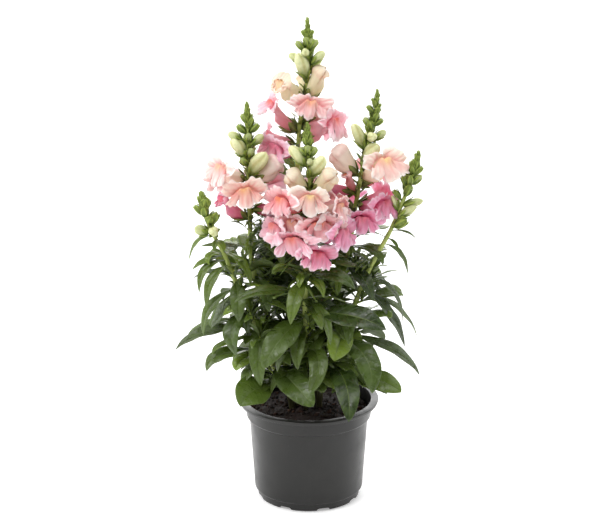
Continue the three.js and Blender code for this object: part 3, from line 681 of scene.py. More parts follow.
class Shader:
    """A node material being put together, with short calls for the nodes that the finishes use."""

    def __init__(self, name: str) -> None:
        """Starts an empty node material."""
        self.material = bpy.data.materials.new(name)
        self.material.use_nodes = True
        self.tree = self.material.node_tree
        self.tree.nodes.clear()
        self.output = self.node("ShaderNodeOutputMaterial")

    def node(self, kind: str, **settings: object) -> bpy.types.Node:
        """Adds a node and sets its properties."""
        made = self.tree.nodes.new(kind)
        for key, value in settings.items():
            setattr(made, key, value)
        return made

    def put(self, socket: bpy.types.NodeSocket, value: object) -> None:
        """Links a socket to another, or sets it to a number or colour."""
        if isinstance(value, bpy.types.NodeSocket):
            self.tree.links.new(value, socket)
        elif isinstance(value, tuple) and len(value) == 3 and socket.type == "RGBA":
            socket.default_value = (*value, 1.0)
        else:
            socket.default_value = value

    def place(self) -> bpy.types.NodeSocket:
        """The surface's place in the plant, in metres."""
        return self.node("ShaderNodeTexCoord").outputs["Object"]

    def uv(self) -> bpy.types.NodeSocket:
        """The shares along and across the surface, from its own map."""
        return self.node("ShaderNodeUVMap", uv_map=SURFACE_MAP).outputs["UV"]

    def tint(self) -> bpy.types.NodeSocket:
        """The points' own colours."""
        return self.node("ShaderNodeAttribute", attribute_name=TINT_LAYER).outputs["Color"]

    def parts(self, value: bpy.types.NodeSocket, kind: str = "XYZ") -> tuple[bpy.types.NodeSocket, ...]:
        """A vector's three measures, or a colour's three channels with the kind Color."""
        made = self.node(f"ShaderNodeSeparate{kind}")
        self.put(made.inputs[0], value)
        return tuple(made.outputs)

    def maths(self, kind: str, a: object, b: object = 0.0) -> bpy.types.NodeSocket:
        """One step of arithmetic on values."""
        made = self.node("ShaderNodeMath", operation=kind)
        self.put(made.inputs[0], a)
        self.put(made.inputs[1], b)
        return made.outputs[0]

    def times(self, a: object, b: object) -> bpy.types.NodeSocket:
        """The product of two values."""
        return self.maths("MULTIPLY", a, b)

    def plus(self, a: object, b: object) -> bpy.types.NodeSocket:
        """The sum of two values."""
        return self.maths("ADD", a, b)

    def minus(self, a: object, b: object) -> bpy.types.NodeSocket:
        """The first value less the second."""
        return self.maths("SUBTRACT", a, b)

    def noise(self, vector: bpy.types.NodeSocket, scale: float, detail: float,
              rough: float = 0.55) -> bpy.types.NodeSocket:
        """Noise of about 0 to 1."""
        made = self.node("ShaderNodeTexNoise")
        self.put(made.inputs["Vector"], vector)
        self.put(made.inputs["Scale"], scale)
        self.put(made.inputs["Detail"], detail)
        self.put(made.inputs["Roughness"], rough)
        return made.outputs["Fac"]

    def streaks(self, vector: bpy.types.NodeSocket, scale: tuple[float, float, float],
                detail: float) -> bpy.types.NodeSocket:
        """Noise drawn out along the axes of the smaller scales."""
        made = self.node("ShaderNodeMapping")
        self.put(made.inputs["Vector"], vector)
        self.put(made.inputs["Scale"], scale)
        return self.noise(made.outputs[0], 1.0, detail)

    def between(self, value: object, low: float, high: float, to_low: float = 0.0,
                to_high: float = 1.0) -> bpy.types.NodeSocket:
        """A value eased from one range to another."""
        made = self.node("ShaderNodeMapRange", interpolation_type="SMOOTHSTEP")
        for key, number in zip(("Value", "From Min", "From Max", "To Min", "To Max"),
                               (value, low, high, to_low, to_high), strict=True):
            self.put(made.inputs[key], number)
        return made.outputs[0]

    def mix(self, share: object, a: object, b: object, kind: str = "MIX") -> bpy.types.NodeSocket:
        """Two colours mixed by a share."""
        made = self.node("ShaderNodeMix", data_type="RGBA", blend_type=kind)
        self.put(made.inputs[0], share)
        self.put(made.inputs[6], a)
        self.put(made.inputs[7], b)
        return made.outputs[2]

    def bump(self, height: bpy.types.NodeSocket, depth: float, strength: float) -> bpy.types.NodeSocket:
        """A normal from a height, with the relief's depth in metres."""
        made = self.node("ShaderNodeBump")
        self.put(made.inputs["Height"], height)
        self.put(made.inputs["Distance"], depth)
        self.put(made.inputs["Strength"], strength)
        return made.outputs[0]

    def surface(self, colour: object, rough: object, **inputs: object) -> bpy.types.Node:
        """The main shader, shown as it is; `inputs` are more of its inputs, with _ for a space."""
        made = self.node("ShaderNodeBsdfPrincipled")
        self.put(made.inputs["Base Color"], colour)
        self.put(made.inputs["Roughness"], rough)
        for key, value in inputs.items():
            self.put(made.inputs[key.replace("_", " ")], value)
        self.tree.links.new(made.outputs[0], self.output.inputs["Surface"])
        return made

    def lit_through(self, surface: bpy.types.Node, colour: object, share: float) -> None:
        """Lets a share of the light through, as a thin leaf or petal does."""
        through = self.node("ShaderNodeBsdfTranslucent")
        self.put(through.inputs["Color"], colour)
        both = self.node("ShaderNodeMixShader")
        self.put(both.inputs[0], share)
        self.tree.links.new(surface.outputs[0], both.inputs[1])
        self.tree.links.new(through.outputs[0], both.inputs[2])
        self.tree.links.new(both.outputs[0], self.output.inputs["Surface"])


@dataclass(frozen=True)
class PetalFinish:
    """Satin petal: the flower's own colours with fine veins that run to the edge."""

    deep: Colour = (0.90, 0.70, 0.74)
    haze: Colour = (0.97, 0.86, 0.84)
    vein: float = 0.22
    through: float = 0.54
    rough: float = 0.5

    def material(self) -> bpy.types.Material:
        """The petal's material."""
        s = Shader("petal")
        tint = s.tint()
        veins = s.streaks(s.uv(), (5.0, 95.0, 1.0), 2.0)
        cloud = s.noise(s.place(), 170.0, 2.0)
        deep = s.mix(1.0, tint, self.deep, "MULTIPLY")
        colour = s.mix(s.times(s.between(veins, 0.42, 0.72), self.vein), tint, deep)
        colour = s.mix(s.between(cloud, 0.35, 0.75, 0.0, 0.18), colour, self.haze)
        height = s.plus(veins, s.times(s.noise(s.place(), 1500.0, 2.0), 0.35))
        shader = s.surface(colour, self.rough, Normal=s.bump(height, 0.00025, 0.6),
                           Specular_IOR_Level=0.3, Sheen_Weight=0.08)
        s.lit_through(shader, colour, self.through)
        return s.material


@dataclass(frozen=True)
class GreenFinish:
    """Sepals, buds and flower stalks: the points' own green with soft mottling and fine hairs."""

    mottle: Colour = (0.72, 0.80, 0.62)
    rib: Colour = (1.25, 1.18, 1.20)
    through: float = 0.22
    rough: float = 0.5

    def material(self) -> bpy.types.Material:
        """The green parts' material."""
        s = Shader("sepal")
        ribs = s.streaks(s.uv(), (3.0, 22.0, 1.0), 2.0)
        cloud = s.noise(s.place(), 420.0, 3.0)
        colour = s.mix(s.between(cloud, 0.35, 0.7, 0.0, 0.5), s.tint(), self.mottle, "MULTIPLY")
        colour = s.mix(s.between(ribs, 0.5, 0.75, 0.0, 0.6), colour, self.rib, "MULTIPLY")
        height = s.plus(ribs, s.noise(s.place(), 1800.0, 2.0))
        shader = s.surface(colour, self.rough, Normal=s.bump(height, 0.0002, 0.6), Specular_IOR_Level=0.4)
        s.lit_through(shader, colour, self.through)
        return s.material


@dataclass(frozen=True)
class LeafFinish:
    """Waxy leaf: mottled green with a pale midrib and side veins, painted highlight along its edges, and
    paler and duller underneath.

    The points' values are: red, how much of the point lies underneath; green, the share of young
    yellow green; blue, a number of the leaf's own.
    """

    deep: Colour = (0.019, 0.036, 0.007)
    mid: Colour = (0.076, 0.126, 0.023)
    young: Colour = (0.190, 0.280, 0.030)
    under: Colour = (0.105, 0.145, 0.055)
    # the rib's colour also paints the highlight along the leaf's edges
    rib: Colour = (0.140, 0.195, 0.048)
    lit: Colour = (0.34, 0.44, 0.03)
    through: float = 0.28
    rough: float = 0.24

    def material(self) -> bpy.types.Material:
        """The leaf's material."""
        s = Shader("leaf")
        below, glow, own = s.parts(s.tint(), "Color")
        along, across, _ = s.parts(s.uv())
        place = s.place()
        off_rib = s.maths("ABSOLUTE", s.minus(s.times(across, 2.0), 1.0))
        mottle = s.noise(place, 130.0, 4.0)
        green = s.mix(s.between(s.plus(mottle, s.times(own, 0.4)), 0.38, 0.95), self.deep, self.mid)
        green = s.mix(glow, green, self.young)
        green = s.mix(s.times(below, 0.75), green, self.under)
        slant = s.minus(s.times(along, 9.0), s.times(off_rib, 1.6))
        wander = s.times(s.noise(place, 60.0, 1.0), 0.5)
        phase = s.maths("FRACT", s.plus(slant, wander))
        vein = s.between(s.maths("ABSOLUTE", s.minus(phase, 0.5)), 0.0, 0.12, 1.0, 0.0)
        vein = s.times(vein, s.between(off_rib, 0.75, 1.0, 0.45, 0.0))
        rib = s.between(off_rib, 0.02, 0.11, 1.0, 0.0)
        rib = s.times(rib, s.between(along, 0.7, 1.0, 0.9, 0.15))
        lines = s.maths("MAXIMUM", rib, s.times(vein, 0.35))
        # painted highlight: a pale line along the leaf's edges, in the rib's colour
        lines = s.maths("MAXIMUM", lines, s.between(off_rib, 0.90, 0.99, 0.0, 0.85))
        colour = s.mix(lines, green, self.rib)
        grain = s.plus(s.noise(place, 420.0, 4.0), s.times(s.noise(place, 110.0, 1.0), 2.5))
        height = s.minus(grain, s.maths("MAXIMUM", rib, vein))
        rough = s.plus(s.between(mottle, 0.3, 0.8, self.rough, self.rough + 0.14), s.times(below, 0.18))
        shader = s.surface(colour, rough, Normal=s.bump(height, 0.00045, 0.8), Specular_IOR_Level=0.6)
        s.lit_through(shader, s.mix(0.5, colour, self.lit), self.through)
        return s.material


@dataclass(frozen=True)
class StemFinish:
    """Fresh stalk: light green with long streaks, and dark brown near the soil."""

    light: Colour = (0.52, 0.60, 0.165)
    dark: Colour = (0.33, 0.41, 0.090)
    foot: Colour = (0.060, 0.050, 0.022)
    foot_ends: tuple[float, float] = (0.085, 0.135)
    through: float = 0.22
    rough: float = 0.42

    def material(self) -> bpy.types.Material:
        """The stalk's material."""
        s = Shader("stalk")
        place = s.place()
        streaks = s.streaks(place, (700.0, 700.0, 45.0), 3.0)
        cloud = s.noise(place, 55.0, 2.0)
        colour = s.mix(s.between(streaks, 0.35, 0.7), self.dark, self.light)
        colour = s.mix(s.between(cloud, 0.4, 0.8, 0.0, 0.4), colour, self.light)
        _, _, height = s.parts(place)
        colour = s.mix(s.between(height, *self.foot_ends, 0.95, 0.0), colour, self.foot)
        shader = s.surface(colour, self.rough, Normal=s.bump(streaks, 0.0003, 0.6), Specular_IOR_Level=0.45)
        s.lit_through(shader, colour, self.through)
        return s.material


@dataclass(frozen=True)
class PotFinish:
    """Charcoal nursery plastic: satin, with faint draw marks and a little dust."""

    grey: Colour = (0.0066, 0.0064, 0.0056)
    pale: Colour = (0.0105, 0.0101, 0.0088)
    dust: Colour = (0.14, 0.125, 0.105)
    rough: float = 0.34

    def material(self) -> bpy.types.Material:
        """The pot's material."""
        s = Shader("pot_plastic_satin")
        place = s.place()
        cloud = s.noise(place, 22.0, 4.0)
        draw = s.streaks(place, (420.0, 420.0, 9.0), 2.0)
        colour = s.mix(s.between(s.plus(cloud, s.times(draw, 0.15)), 0.4, 0.85), self.grey, self.pale)
        speck = s.noise(place, 900.0, 2.0)
        colour = s.mix(s.between(speck, 0.72, 0.80, 0.0, 0.20), colour, self.dust)
        rough = s.between(s.noise(place, 60.0, 3.0), 0.3, 0.75, self.rough - 0.05, self.rough + 0.10)
        grain = s.plus(s.noise(place, 2600.0, 2.0), s.times(draw, 0.2))
        s.surface(colour, rough, Normal=s.bump(grain, 0.00005, 0.5), Specular_IOR_Level=0.36)
        return s.material


@dataclass(frozen=True)
class SoilFinish:
    """Moist potting soil: nearly black with brown fibres. Crumbs show their own colours."""

    name: str
    own_colours: bool = False
    dark: Colour = (0.015, 0.0070, 0.0048)
    brown: Colour = (0.042, 0.017, 0.010)
    fibre: Colour = (0.100, 0.036, 0.019)

    def material(self) -> bpy.types.Material:
        """The soil's material."""
        s = Shader(self.name)
        place = s.place()
        lumps = s.noise(place, 260.0, 5.0, 0.65)
        fibres = s.streaks(place, (500.0, 1400.0, 900.0), 3.0)
        base = s.tint() if self.own_colours else self.dark
        colour = s.mix(s.between(lumps, 0.45, 0.75, 0.0, 0.6), base, self.brown)
        colour = s.mix(s.between(fibres, 0.62, 0.75, 0.0, 0.45), colour, self.fibre)
        height = s.plus(lumps, s.times(fibres, 0.5))
        s.surface(colour, s.between(lumps, 0.3, 0.7, 0.7, 0.95), Normal=s.bump(height, 0.0012, 0.9))
        return s.material


@dataclass(frozen=True)
class FloorFinish:
    """A plain pale light table: white, with a little light of its own that softens every shadow."""

    pale: Colour = (0.88, 0.88, 0.88)
    cloud: Colour = (0.90, 0.90, 0.895)
    rough: float = 0.8
    glow: float = 0.34

    def material(self) -> bpy.types.Material:
        """The floor's material."""
        s = Shader("studio_floor")
        cloud = s.noise(s.place(), 0.6, 2.0)
        colour = s.mix(s.between(cloud, 0.3, 0.7, 0.0, 0.3), self.pale, self.cloud)
        s.surface(colour, self.rough, Emission_Color=WHITE, Emission_Strength=self.glow)
        return s.material


class Finishes:
    """One of each material, shared by all pieces."""

    def __init__(self) -> None:
        """Makes the materials."""
        self.petal = PetalFinish().material()
        self.green = GreenFinish().material()
        self.leaf = LeafFinish().material()
        self.stalk = StemFinish().material()
        self.pot = PotFinish().material()
        self.soil = SoilFinish("soil_bed").material()
        self.crumb = SoilFinish("soil_crumb", own_colours=True).material()


# ------------------------------------------------------------------ leaves


@dataclass(frozen=True)
class Leaf:
    """A lance-shaped leaf on one arched midrib, folded along it and waved along its edges."""

    root: Array
    tip: Array
    width: float
    arch: float
    sway: float
    roll: float
    glow: float
    seed: int
    bow: float = 0.6
    blunt: float = 0.3
    fold: float = 0.42
    curl: float = 0.30
    wave: float = 0.9
    thick: float = 0.34
    rows: int = 24
    fine: bool = True
    stalk: float = 0.07

    COLUMNS_FINE = (-1.0, -0.94, -0.72, -0.42, -0.12, 0.0, 0.12, 0.42, 0.72, 0.94, 1.0)
    COLUMNS_PLAIN = (-1.0, -0.6, 0.0, 0.6, 1.0)

    # The height of the midrib's bend as a share of its tip's, the blade's ends, its waves and keel.
    BEND_DROP = 0.45
    FOOT_POWER, FOOT_BLUNTER = 0.78, 0.20
    TIP_POWER, TIP_BLUNTER = 0.95, 0.22
    STALK_HALF = 0.9
    LEAST_HALF = 0.12
    TWIST = 5
    WAVE_COUNTS = (2.0, 3.2)
    KEEL, KEEL_SPREAD = 0.5, 0.10

    def half_width(self, share: Array) -> Array:
        """Half the width: a stalk, then s^a (1 - s)^b, with smaller powers on a blunter leaf."""
        s = np.clip((share - self.stalk) / (1 - self.stalk), 0.0, 1.0)
        a = self.FOOT_POWER - self.FOOT_BLUNTER * self.blunt
        b = self.TIP_POWER - self.TIP_BLUNTER * self.blunt
        most = (a / (a + b)) ** a * (b / (a + b)) ** b
        blade = s**a * (1.0 - s) ** b / most
        stalk = self.STALK_HALF * (1.0 - share) ** 2
        return np.maximum(blade * self.width / 2, stalk) + self.LEAST_HALF

    def patch(self) -> Patch:
        """The leaf's closed skin.

        The midrib is a quadratic curve from root to tip. Across it the blade rises by
        fold |q| - curl q^2 half widths, and its edges wave more towards the margin.

        Returns:
            The patch, on the piece's first finish.
        """
        rng = np.random.default_rng(self.seed)
        t = np.linspace(0.0, 1.0, self.rows) ** 0.9
        t = t + 0.012 * np.sin(math.pi * t)
        q = np.array(self.COLUMNS_FINE if self.fine else self.COLUMNS_PLAIN)
        run = self.tip - self.root
        level = unit(np.array([-run[1], run[0], 0.0]))
        out = np.array([self.bow * run[0], self.bow * run[1], self.BEND_DROP * run[2] + 2 * self.arch])
        rib = bent(self.root, self.root + level * 2 * self.sway + out, self.tip, t[:, None])
        along = unit(np.gradient(rib, axis=0))
        across = unit(level - (along @ level)[:, None] * along)
        up = np.cross(along, across)
        angle = np.radians(self.roll) * ease(t, 0.0, 0.45) + np.radians(rng.normal(0, self.TWIST)) * t
        turned = np.cos(angle)[:, None] * across + np.sin(angle)[:, None] * up
        lifted = np.cos(angle)[:, None] * up - np.sin(angle)[:, None] * across
        half = self.half_width(t)[:, None]
        phase = rng.uniform(0, FULL_TURN, 2)
        turns = rng.uniform(*self.WAVE_COUNTS)
        waves = np.sin(FULL_TURN * turns * t[:, None] + np.where(q > 0, phase[0], phase[1]))
        rise = half * (self.fold * np.abs(q) - self.curl * q**2)
        rise = rise + self.wave * waves * q**2 * np.sin(math.pi * t)[:, None] * half / 8
        middle_face = (rib[:, None] + turned[:, None] * (half * q)[..., None]
                       + lifted[:, None] * rise[..., None])
        normal = grid_normals(middle_face, False)
        flip = np.sign((normal * lifted[:, None]).sum(-1).mean())
        thick = self.thick * (0.35 + 0.65 * np.sqrt(np.clip(1 - q**2, 0, 1)))
        keel = (self.KEEL * bell(q, 0.0, self.KEEL_SPREAD) * (1 - t[:, None])
                * min(1.0, self.width / 10))
        top = middle_face + flip * normal * (thick / 2)[None, :, None]
        low = middle_face - flip * normal * ((thick / 2)[None, :] + keel)[..., None]
        tint = np.zeros((2, self.rows, len(q), 4))
        tint[1, ..., 0] = 1.0
        tint[..., 1] = self.glow
        tint[..., 2] = rng.uniform() * (1.0 if self.glow > 0 else 0.15)
        return shell(top, low, False, tint, 0)


def leaf_from_row(row: LeafRow, seed: int) -> Leaf:
    """A leaf from its row: it starts inside its stem and ends at its own tip."""
    root = LINES[row.stem].at(row.height)
    return Leaf(root, np.array(row.tip, float), row.width, row.arch, row.sway, row.roll, row.glow, seed,
                row.bow, row.blunt, stalk=row.stalk)


def young_leaf(root: Array, tip: Array, width: float, arch: float, sway: float, roll: float, glow: float,
               seed: int, thick: float = Leaf.thick) -> Patch:
    """The skin of a small leaf, of fewer points than a grown one and less waved."""
    return Leaf(root, tip, width, arch, sway, roll, glow, seed, thick=thick, rows=9, fine=False,
                wave=0.4).patch()


@dataclass
class Foliage:
    """All leaves: the large ones by name, and the small ones and side shoots that fill each stem.

    The spread is how far to the left and right leaf tips may reach at some heights, though each may
    reach `least_reach` from its root. Below `front_height` the small leaves stay behind `front`, or
    `least_front` before their roots, so that the large ones hang before them.
    """

    finishes: Finishes
    spacing: float = 3.5
    first: float = 94.0
    lowest_tip: float = 99.0
    shoots: int = 10
    shoot_leaves: int = 8
    tuft_leaves: int = 12
    front: float = -36.0
    front_height: float = 175.0
    least_reach: float = 12.0
    least_front: float = 8.0
    seed: int = 11
    spread_heights: tuple[float, ...] = (92, 115, 150, 190, 230, 260)
    spread_left: tuple[float, ...] = (-42, -58, -68, -74, -66, -52)
    spread_right: tuple[float, ...] = (60, 72, 80, 78, 72, 58)

    NAMED_SEEDS, MORE_SEEDS, STEM_SEEDS = 100, 200, 1000

    # Small leaves: each measure at the stem's foot, its fall towards the top, and what else changes it.
    SCATTER_TURN, STEM_TURN = 14, 50
    LENGTH, LENGTH_FALL = 60, 24
    WIDTH, WIDTH_FALL, WIDTH_BEHIND = 13, 5, 6
    RISE, RISE_SCATTER, RISE_LOW = 8, 13, 26
    CLEAR_FROM, CLEAR_FRONT = 0.5, 0.77

    # Side shoots: where they start and reach, and their leaves' length and width from foot to tip.
    SHOOT_FOOT, SHOOT_ROOM, SHOOT_RISE, SHOOT_LENGTH = 98.0, 110.0, 42, 16
    SHOOT_LEAF, SHOOT_LEAF_FALL = 24, 13
    SHOOT_BLADE, SHOOT_BLADE_FALL = 4.6, 1.8

    def build(self) -> None:
        """Makes each large leaf, then each stem's small leaves and side shoots."""
        for number, (name, row) in enumerate(LEAVES.items()):
            leaf = leaf_from_row(row, self.NAMED_SEEDS + number)
            build_piece(f"blade_{name}", [leaf.patch()], [self.finishes.leaf],
                        (f"leaf_{name}",))
        log.info("large leaves: %d", len(LEAVES))
        for number, name in enumerate(STEMS):
            rng = np.random.default_rng(self.seed + number)
            own = [leaf_from_row(row, self.MORE_SEEDS + i) for i, row in enumerate(MORE_LEAVES)
                   if row.stem == name]
            leaves = own + self.small_leaves(name, rng, number)
            patches = [leaf.patch() for leaf in leaves]
            shoots = [patch for k in range(self.shoots) for patch in self.side_shoot(name, k, rng)]
            shoots += [patch for tuft in TUFTS if tuft[0] == name for patch in self.tuft(*tuft, rng)]
            build_piece(f"foliage_{name}", patches + shoots, [self.finishes.leaf, self.finishes.green])
            log.info("stem %s: %d more leaves, %d side shoots", name, len(leaves), self.shoots)

    def kept_in(self, root: Array, tip: Array) -> Array:
        """A leaf's tip brought back where it would reach past the plant's spread."""
        low = np.interp(tip[2], self.spread_heights, self.spread_left)
        high = np.interp(tip[2], self.spread_heights, self.spread_right)
        reach = tip[0] - root[0]
        room = np.clip(tip[0], min(low, root[0] - self.least_reach),
                       max(high, root[0] + self.least_reach)) - root[0]
        share = 1.0 if abs(reach) < 1 else room / reach
        tip = root + (tip - root) * np.array([share, 1.0, 1.0])
        if root[2] < self.front_height:
            tip[1] = max(tip[1], min(self.front, root[1] - self.least_front))
        over_rim = 0.25 * max(0.0, -tip[1] - 10)
        tip[2] = max(tip[2], self.lowest_tip + over_rim)
        return tip

    def small_leaves(self, stem: str, rng: np.random.Generator, number: int) -> list[Leaf]:
        """Leaves up a stem, each turned by the golden angle, shorter and narrower towards the top.

        Those that face away from the front are broader, as the large ones in front are. Higher up
        none faces the front, so that the stem shows.
        """
        line, row = LINES[stem], STEMS[stem]
        heights = np.arange(self.first, row.leaf_top, self.spacing)
        leaves = []
        for i, height in enumerate(heights):
            share = (height - self.first) / (row.leaf_top - self.first)
            turn = i * GOLDEN_TURN + rng.normal(0, self.SCATTER_TURN) + number * self.STEM_TURN
            frontward = math.cos(math.radians(turn))
            behind = float(ease(-frontward, 0.0, 0.7))
            if share > self.CLEAR_FROM and frontward > self.CLEAR_FRONT:
                continue
            length = (self.LENGTH - self.LENGTH_FALL * share) * rng.uniform(0.75, 1.1)
            width = ((self.WIDTH - self.WIDTH_FALL * share + self.WIDTH_BEHIND * behind)
                     * rng.uniform(0.75, 1.2))
            rise = rng.normal(self.RISE, self.RISE_SCATTER) - self.RISE_LOW * (1 - share)
            root = line.at(height)
            tip = self.kept_in(root, root + heading(turn, rise) * length)
            arch, sway, roll = length * 0.11 + rng.normal(0, 1.5), rng.normal(0, 3.0), rng.normal(0, 22)
            # young green grows with height; the term in -x is painted light: leaves on the plant's left,
            # towards the key lamp, are painted lighter
            glow = float(rng.uniform(0.0, 0.35) + 0.35 * share + 0.008 * max(0.0, -root[0]))
            bow, blunt = float(rng.uniform(0.55, 1.05)), float(rng.uniform(0.2, 0.8 - 0.4 * share))
            leaves.append(Leaf(root, tip, width, arch, sway, roll, glow, number * self.STEM_SEEDS + i,
                               bow, blunt, rows=14, fine=False))
        return leaves

    def side_shoot(self, stem: str, k: int, rng: np.random.Generator) -> list[Patch]:
        """A short shoot from a leaf's foot, with young leaves in a spiral and a pale tip."""
        line, row = LINES[stem], STEMS[stem]
        height = (self.SHOOT_FOOT
                  + (row.leaf_top - self.SHOOT_ROOM) * (k + rng.uniform(0.1, 0.9)) / self.shoots)
        turn = rng.uniform(-180, 180)
        root = line.at(height)
        size = rng.uniform(0.7, 1.2) * (1.3 - 0.55 * k / self.shoots)
        end = self.kept_in(root, root + heading(turn, self.SHOOT_RISE) * self.SHOOT_LENGTH * size)
        bend = (root + end) / 2 + heading(turn, 0) * 2.5
        stalk = np.stack([root, bend, end])
        patches = [swept(stalk, np.array([1.0, 0.85, 0.6]), 6, SEPAL_LIGHT, 1)]
        for i in range(self.shoot_leaves):
            share = i / (self.shoot_leaves - 1)
            foot = bend + (end - bend) * share
            length = (self.SHOOT_LEAF - self.SHOOT_LEAF_FALL * share) * size
            width = (self.SHOOT_BLADE - self.SHOOT_BLADE_FALL * share) * size
            tip = foot + heading(turn + i * GOLDEN_TURN, 10 + 60 * share) * length
            patches.append(young_leaf(foot, tip, width, length * 0.16, rng.normal(0, 1.5),
                                      rng.normal(0, 15), 0.45 + 0.5 * share, int(rng.integers(SEEDS))))
        return patches

    def tuft(self, stem: str, height: float, turn: float, length: float,
             rng: np.random.Generator) -> list[Patch]:
        """Narrow arched leaves that fan out from one joint."""
        patches = []
        for share in np.linspace(0, 1, self.tuft_leaves):
            root = LINES[stem].at(height + 8 * share)
            way = heading(turn + rng.normal(0, 45), rng.uniform(-25, 45))
            reach = length * rng.uniform(0.6, 1.1)
            patches.append(young_leaf(root, root + way * reach, rng.uniform(2.0, 3.4), reach * 0.2,
                                      rng.normal(0, 2.5), rng.normal(0, 20),
                                      float(rng.uniform(0.3, 0.9)), int(rng.integers(SEEDS))))
        return patches


# ------------------------------------------------------------------ buds and flowers


BUD_GREEN: Colour = (0.24, 0.32, 0.060)
BUD_RIPE: Colour = (0.84, 0.85, 0.51)
SEPAL_GREEN: Colour = (0.075, 0.125, 0.018)
SEPAL_LIGHT: Colour = (0.42, 0.52, 0.095)
CUP_GREENS: tuple[Colour, Colour] = ((0.100, 0.115, 0.027), (0.290, 0.320, 0.088))


@dataclass(frozen=True)
class Axis:
    """A place to grow from and the three directions of what grows there."""

    root: Array
    along: Array
    up: Array
    across: Array

    @staticmethod
    def facing(root: Array, turn: float, rise: float, spin: float = 0.0) -> "Axis":
        """Directions for a thing that points `turn` round and `rise` up, spun about itself."""
        along, up, across = heading(turn, rise), heading(turn, rise + 90), heading(turn + 90, 0)
        c, s = math.cos(math.radians(spin)), math.sin(math.radians(spin))
        return Axis(root, along, c * up + s * across, c * across - s * up)

    def place(self, along: Array, up: Array, across: Array) -> Array:
        """Points from their three measures."""
        return (self.root + along[..., None] * self.along + up[..., None] * self.up
                + across[..., None] * self.across)


# A bud's half width along it, and its width and length beside its row's: green, and more when ripe.
BODY_KEYS = (0.0, 0.15, 0.35, 0.6, 0.8, 0.92, 1.0)
BODY_HALF = (0.30, 0.72, 0.93, 1.0, 0.84, 0.55, 0.12)
BUD_WIDTH, BUD_WIDTH_RIPE = 0.86, 0.05
BUD_LENGTH, BUD_LENGTH_RIPE = 1.08, 0.04
CUP_RINGS = 6
SEPALS = 5


def closed_bud(axis: Axis, start: float, row: BudRow, seed: int, sides: int) -> Patch:
    """A bud's body: widest past its middle, with folded petals that overlap in slanting creases, which are
    darkened by painted shade.

    Args:
        axis: the bud's place and directions.
        start: how far along the axis it begins.
        row: its measures.
        seed: for its folds.
        sides: how many meridians it has.

    Returns:
        The patch, on the piece's second finish.
    """
    rng = np.random.default_rng(seed)
    v = np.linspace(0.0, 0.97, sides * 2 // 3)[:, None] ** 0.85
    half = through_keys(v, BODY_KEYS, BODY_HALF) * row.width / 2
    a = around(sides)
    turn = rng.uniform(0, FULL_TURN)
    fold = np.cos(3 * (a + turn) + 2.2 * v)
    crease = 1 - 0.17 * row.ripe * (bell(fold, -1.0, 0.5) - 0.4 * bell(fold, 1.0, 0.8)) * ease(v, 0.1, 0.5)
    lean = 0.05 * row.length * ease(v, 0.4, 1.0) * row.ripe
    along = start + v * row.length + 0 * a
    points = axis.place(along, half * crease * np.cos(a) - lean, half * crease * np.sin(a))
    ripe = (ease(v, 0.0, 0.65) * row.ripe**0.7)[..., None] + np.zeros((1, sides, 1))
    tint = np.zeros((len(v), sides, 4))
    tint[..., :3] = blend(BUD_GREEN, BUD_RIPE, ripe)
    # painted shade: darker in the slanting creases between the folded petals, most in blue
    shade = (0.8 * bell(fold, -1.0, 0.4) * row.ripe * ease(v, 0.05, 0.4))[..., None]
    tint[..., :3] *= 1 - shade * np.array([0.28, 0.34, 0.55])
    return tube(points, tint, 1)


def calyx(axis: Axis, start: float, length: float, half: Array, sides: int = 40,
          greens: tuple[Colour, Colour] = (SEPAL_GREEN, SEPAL_LIGHT)) -> Patch:
    """Pointed sepals joined in a cup.

    Each meridian stops at 1 - 0.72 d^1.2 of the way, d being its share of the way from a sepal's
    middle to the notch beside it. A keel runs up each sepal, and its point stands a little away.

    Args:
        axis: the place and directions of the bud or flower.
        start: how far along the axis the cup begins.
        length: from there to the sepals' points.
        half: the cup's half widths at even steps from its foot to its points.
        sides: how many meridians it has.
        greens: the colours of its notches and of its keels.

    Returns:
        The patch, on the piece's second finish.
    """
    rows = len(half)
    v = np.linspace(0, 1, rows)[:, None]
    a = around(sides)
    off = np.abs((a * SEPALS / FULL_TURN + 0.5) % 1.0 - 0.5) * 2
    share = v * (1 - 0.72 * off**1.2)
    wide = np.interp(share, np.linspace(0, 1, rows), half) * (1 + 0.10 * (1 - off) ** 2)
    wide = wide + 0.05 * length * ease(share, 0.55, 1.0)
    points = axis.place(start + share * length, wide * np.cos(a), wide * np.sin(a))
    middle = axis.place(start + share * length, 0 * share, 0 * share)
    normal = grid_normals(points, True)
    outward = np.sign((normal * (points - middle)).sum(-1).mean())
    outer = points + outward * normal * 0.3 * (1.2 - v[..., None])
    light = np.clip(0.75 * (1 - off) ** 2 + 0.55 * ease(v, 0.7, 1.0) * (1 - off), 0, 1)[..., None]
    tint = np.zeros((2, rows, sides, 4))
    tint[..., :3] = blend(*greens, light)
    return shell(outer, points, True, tint, 1)


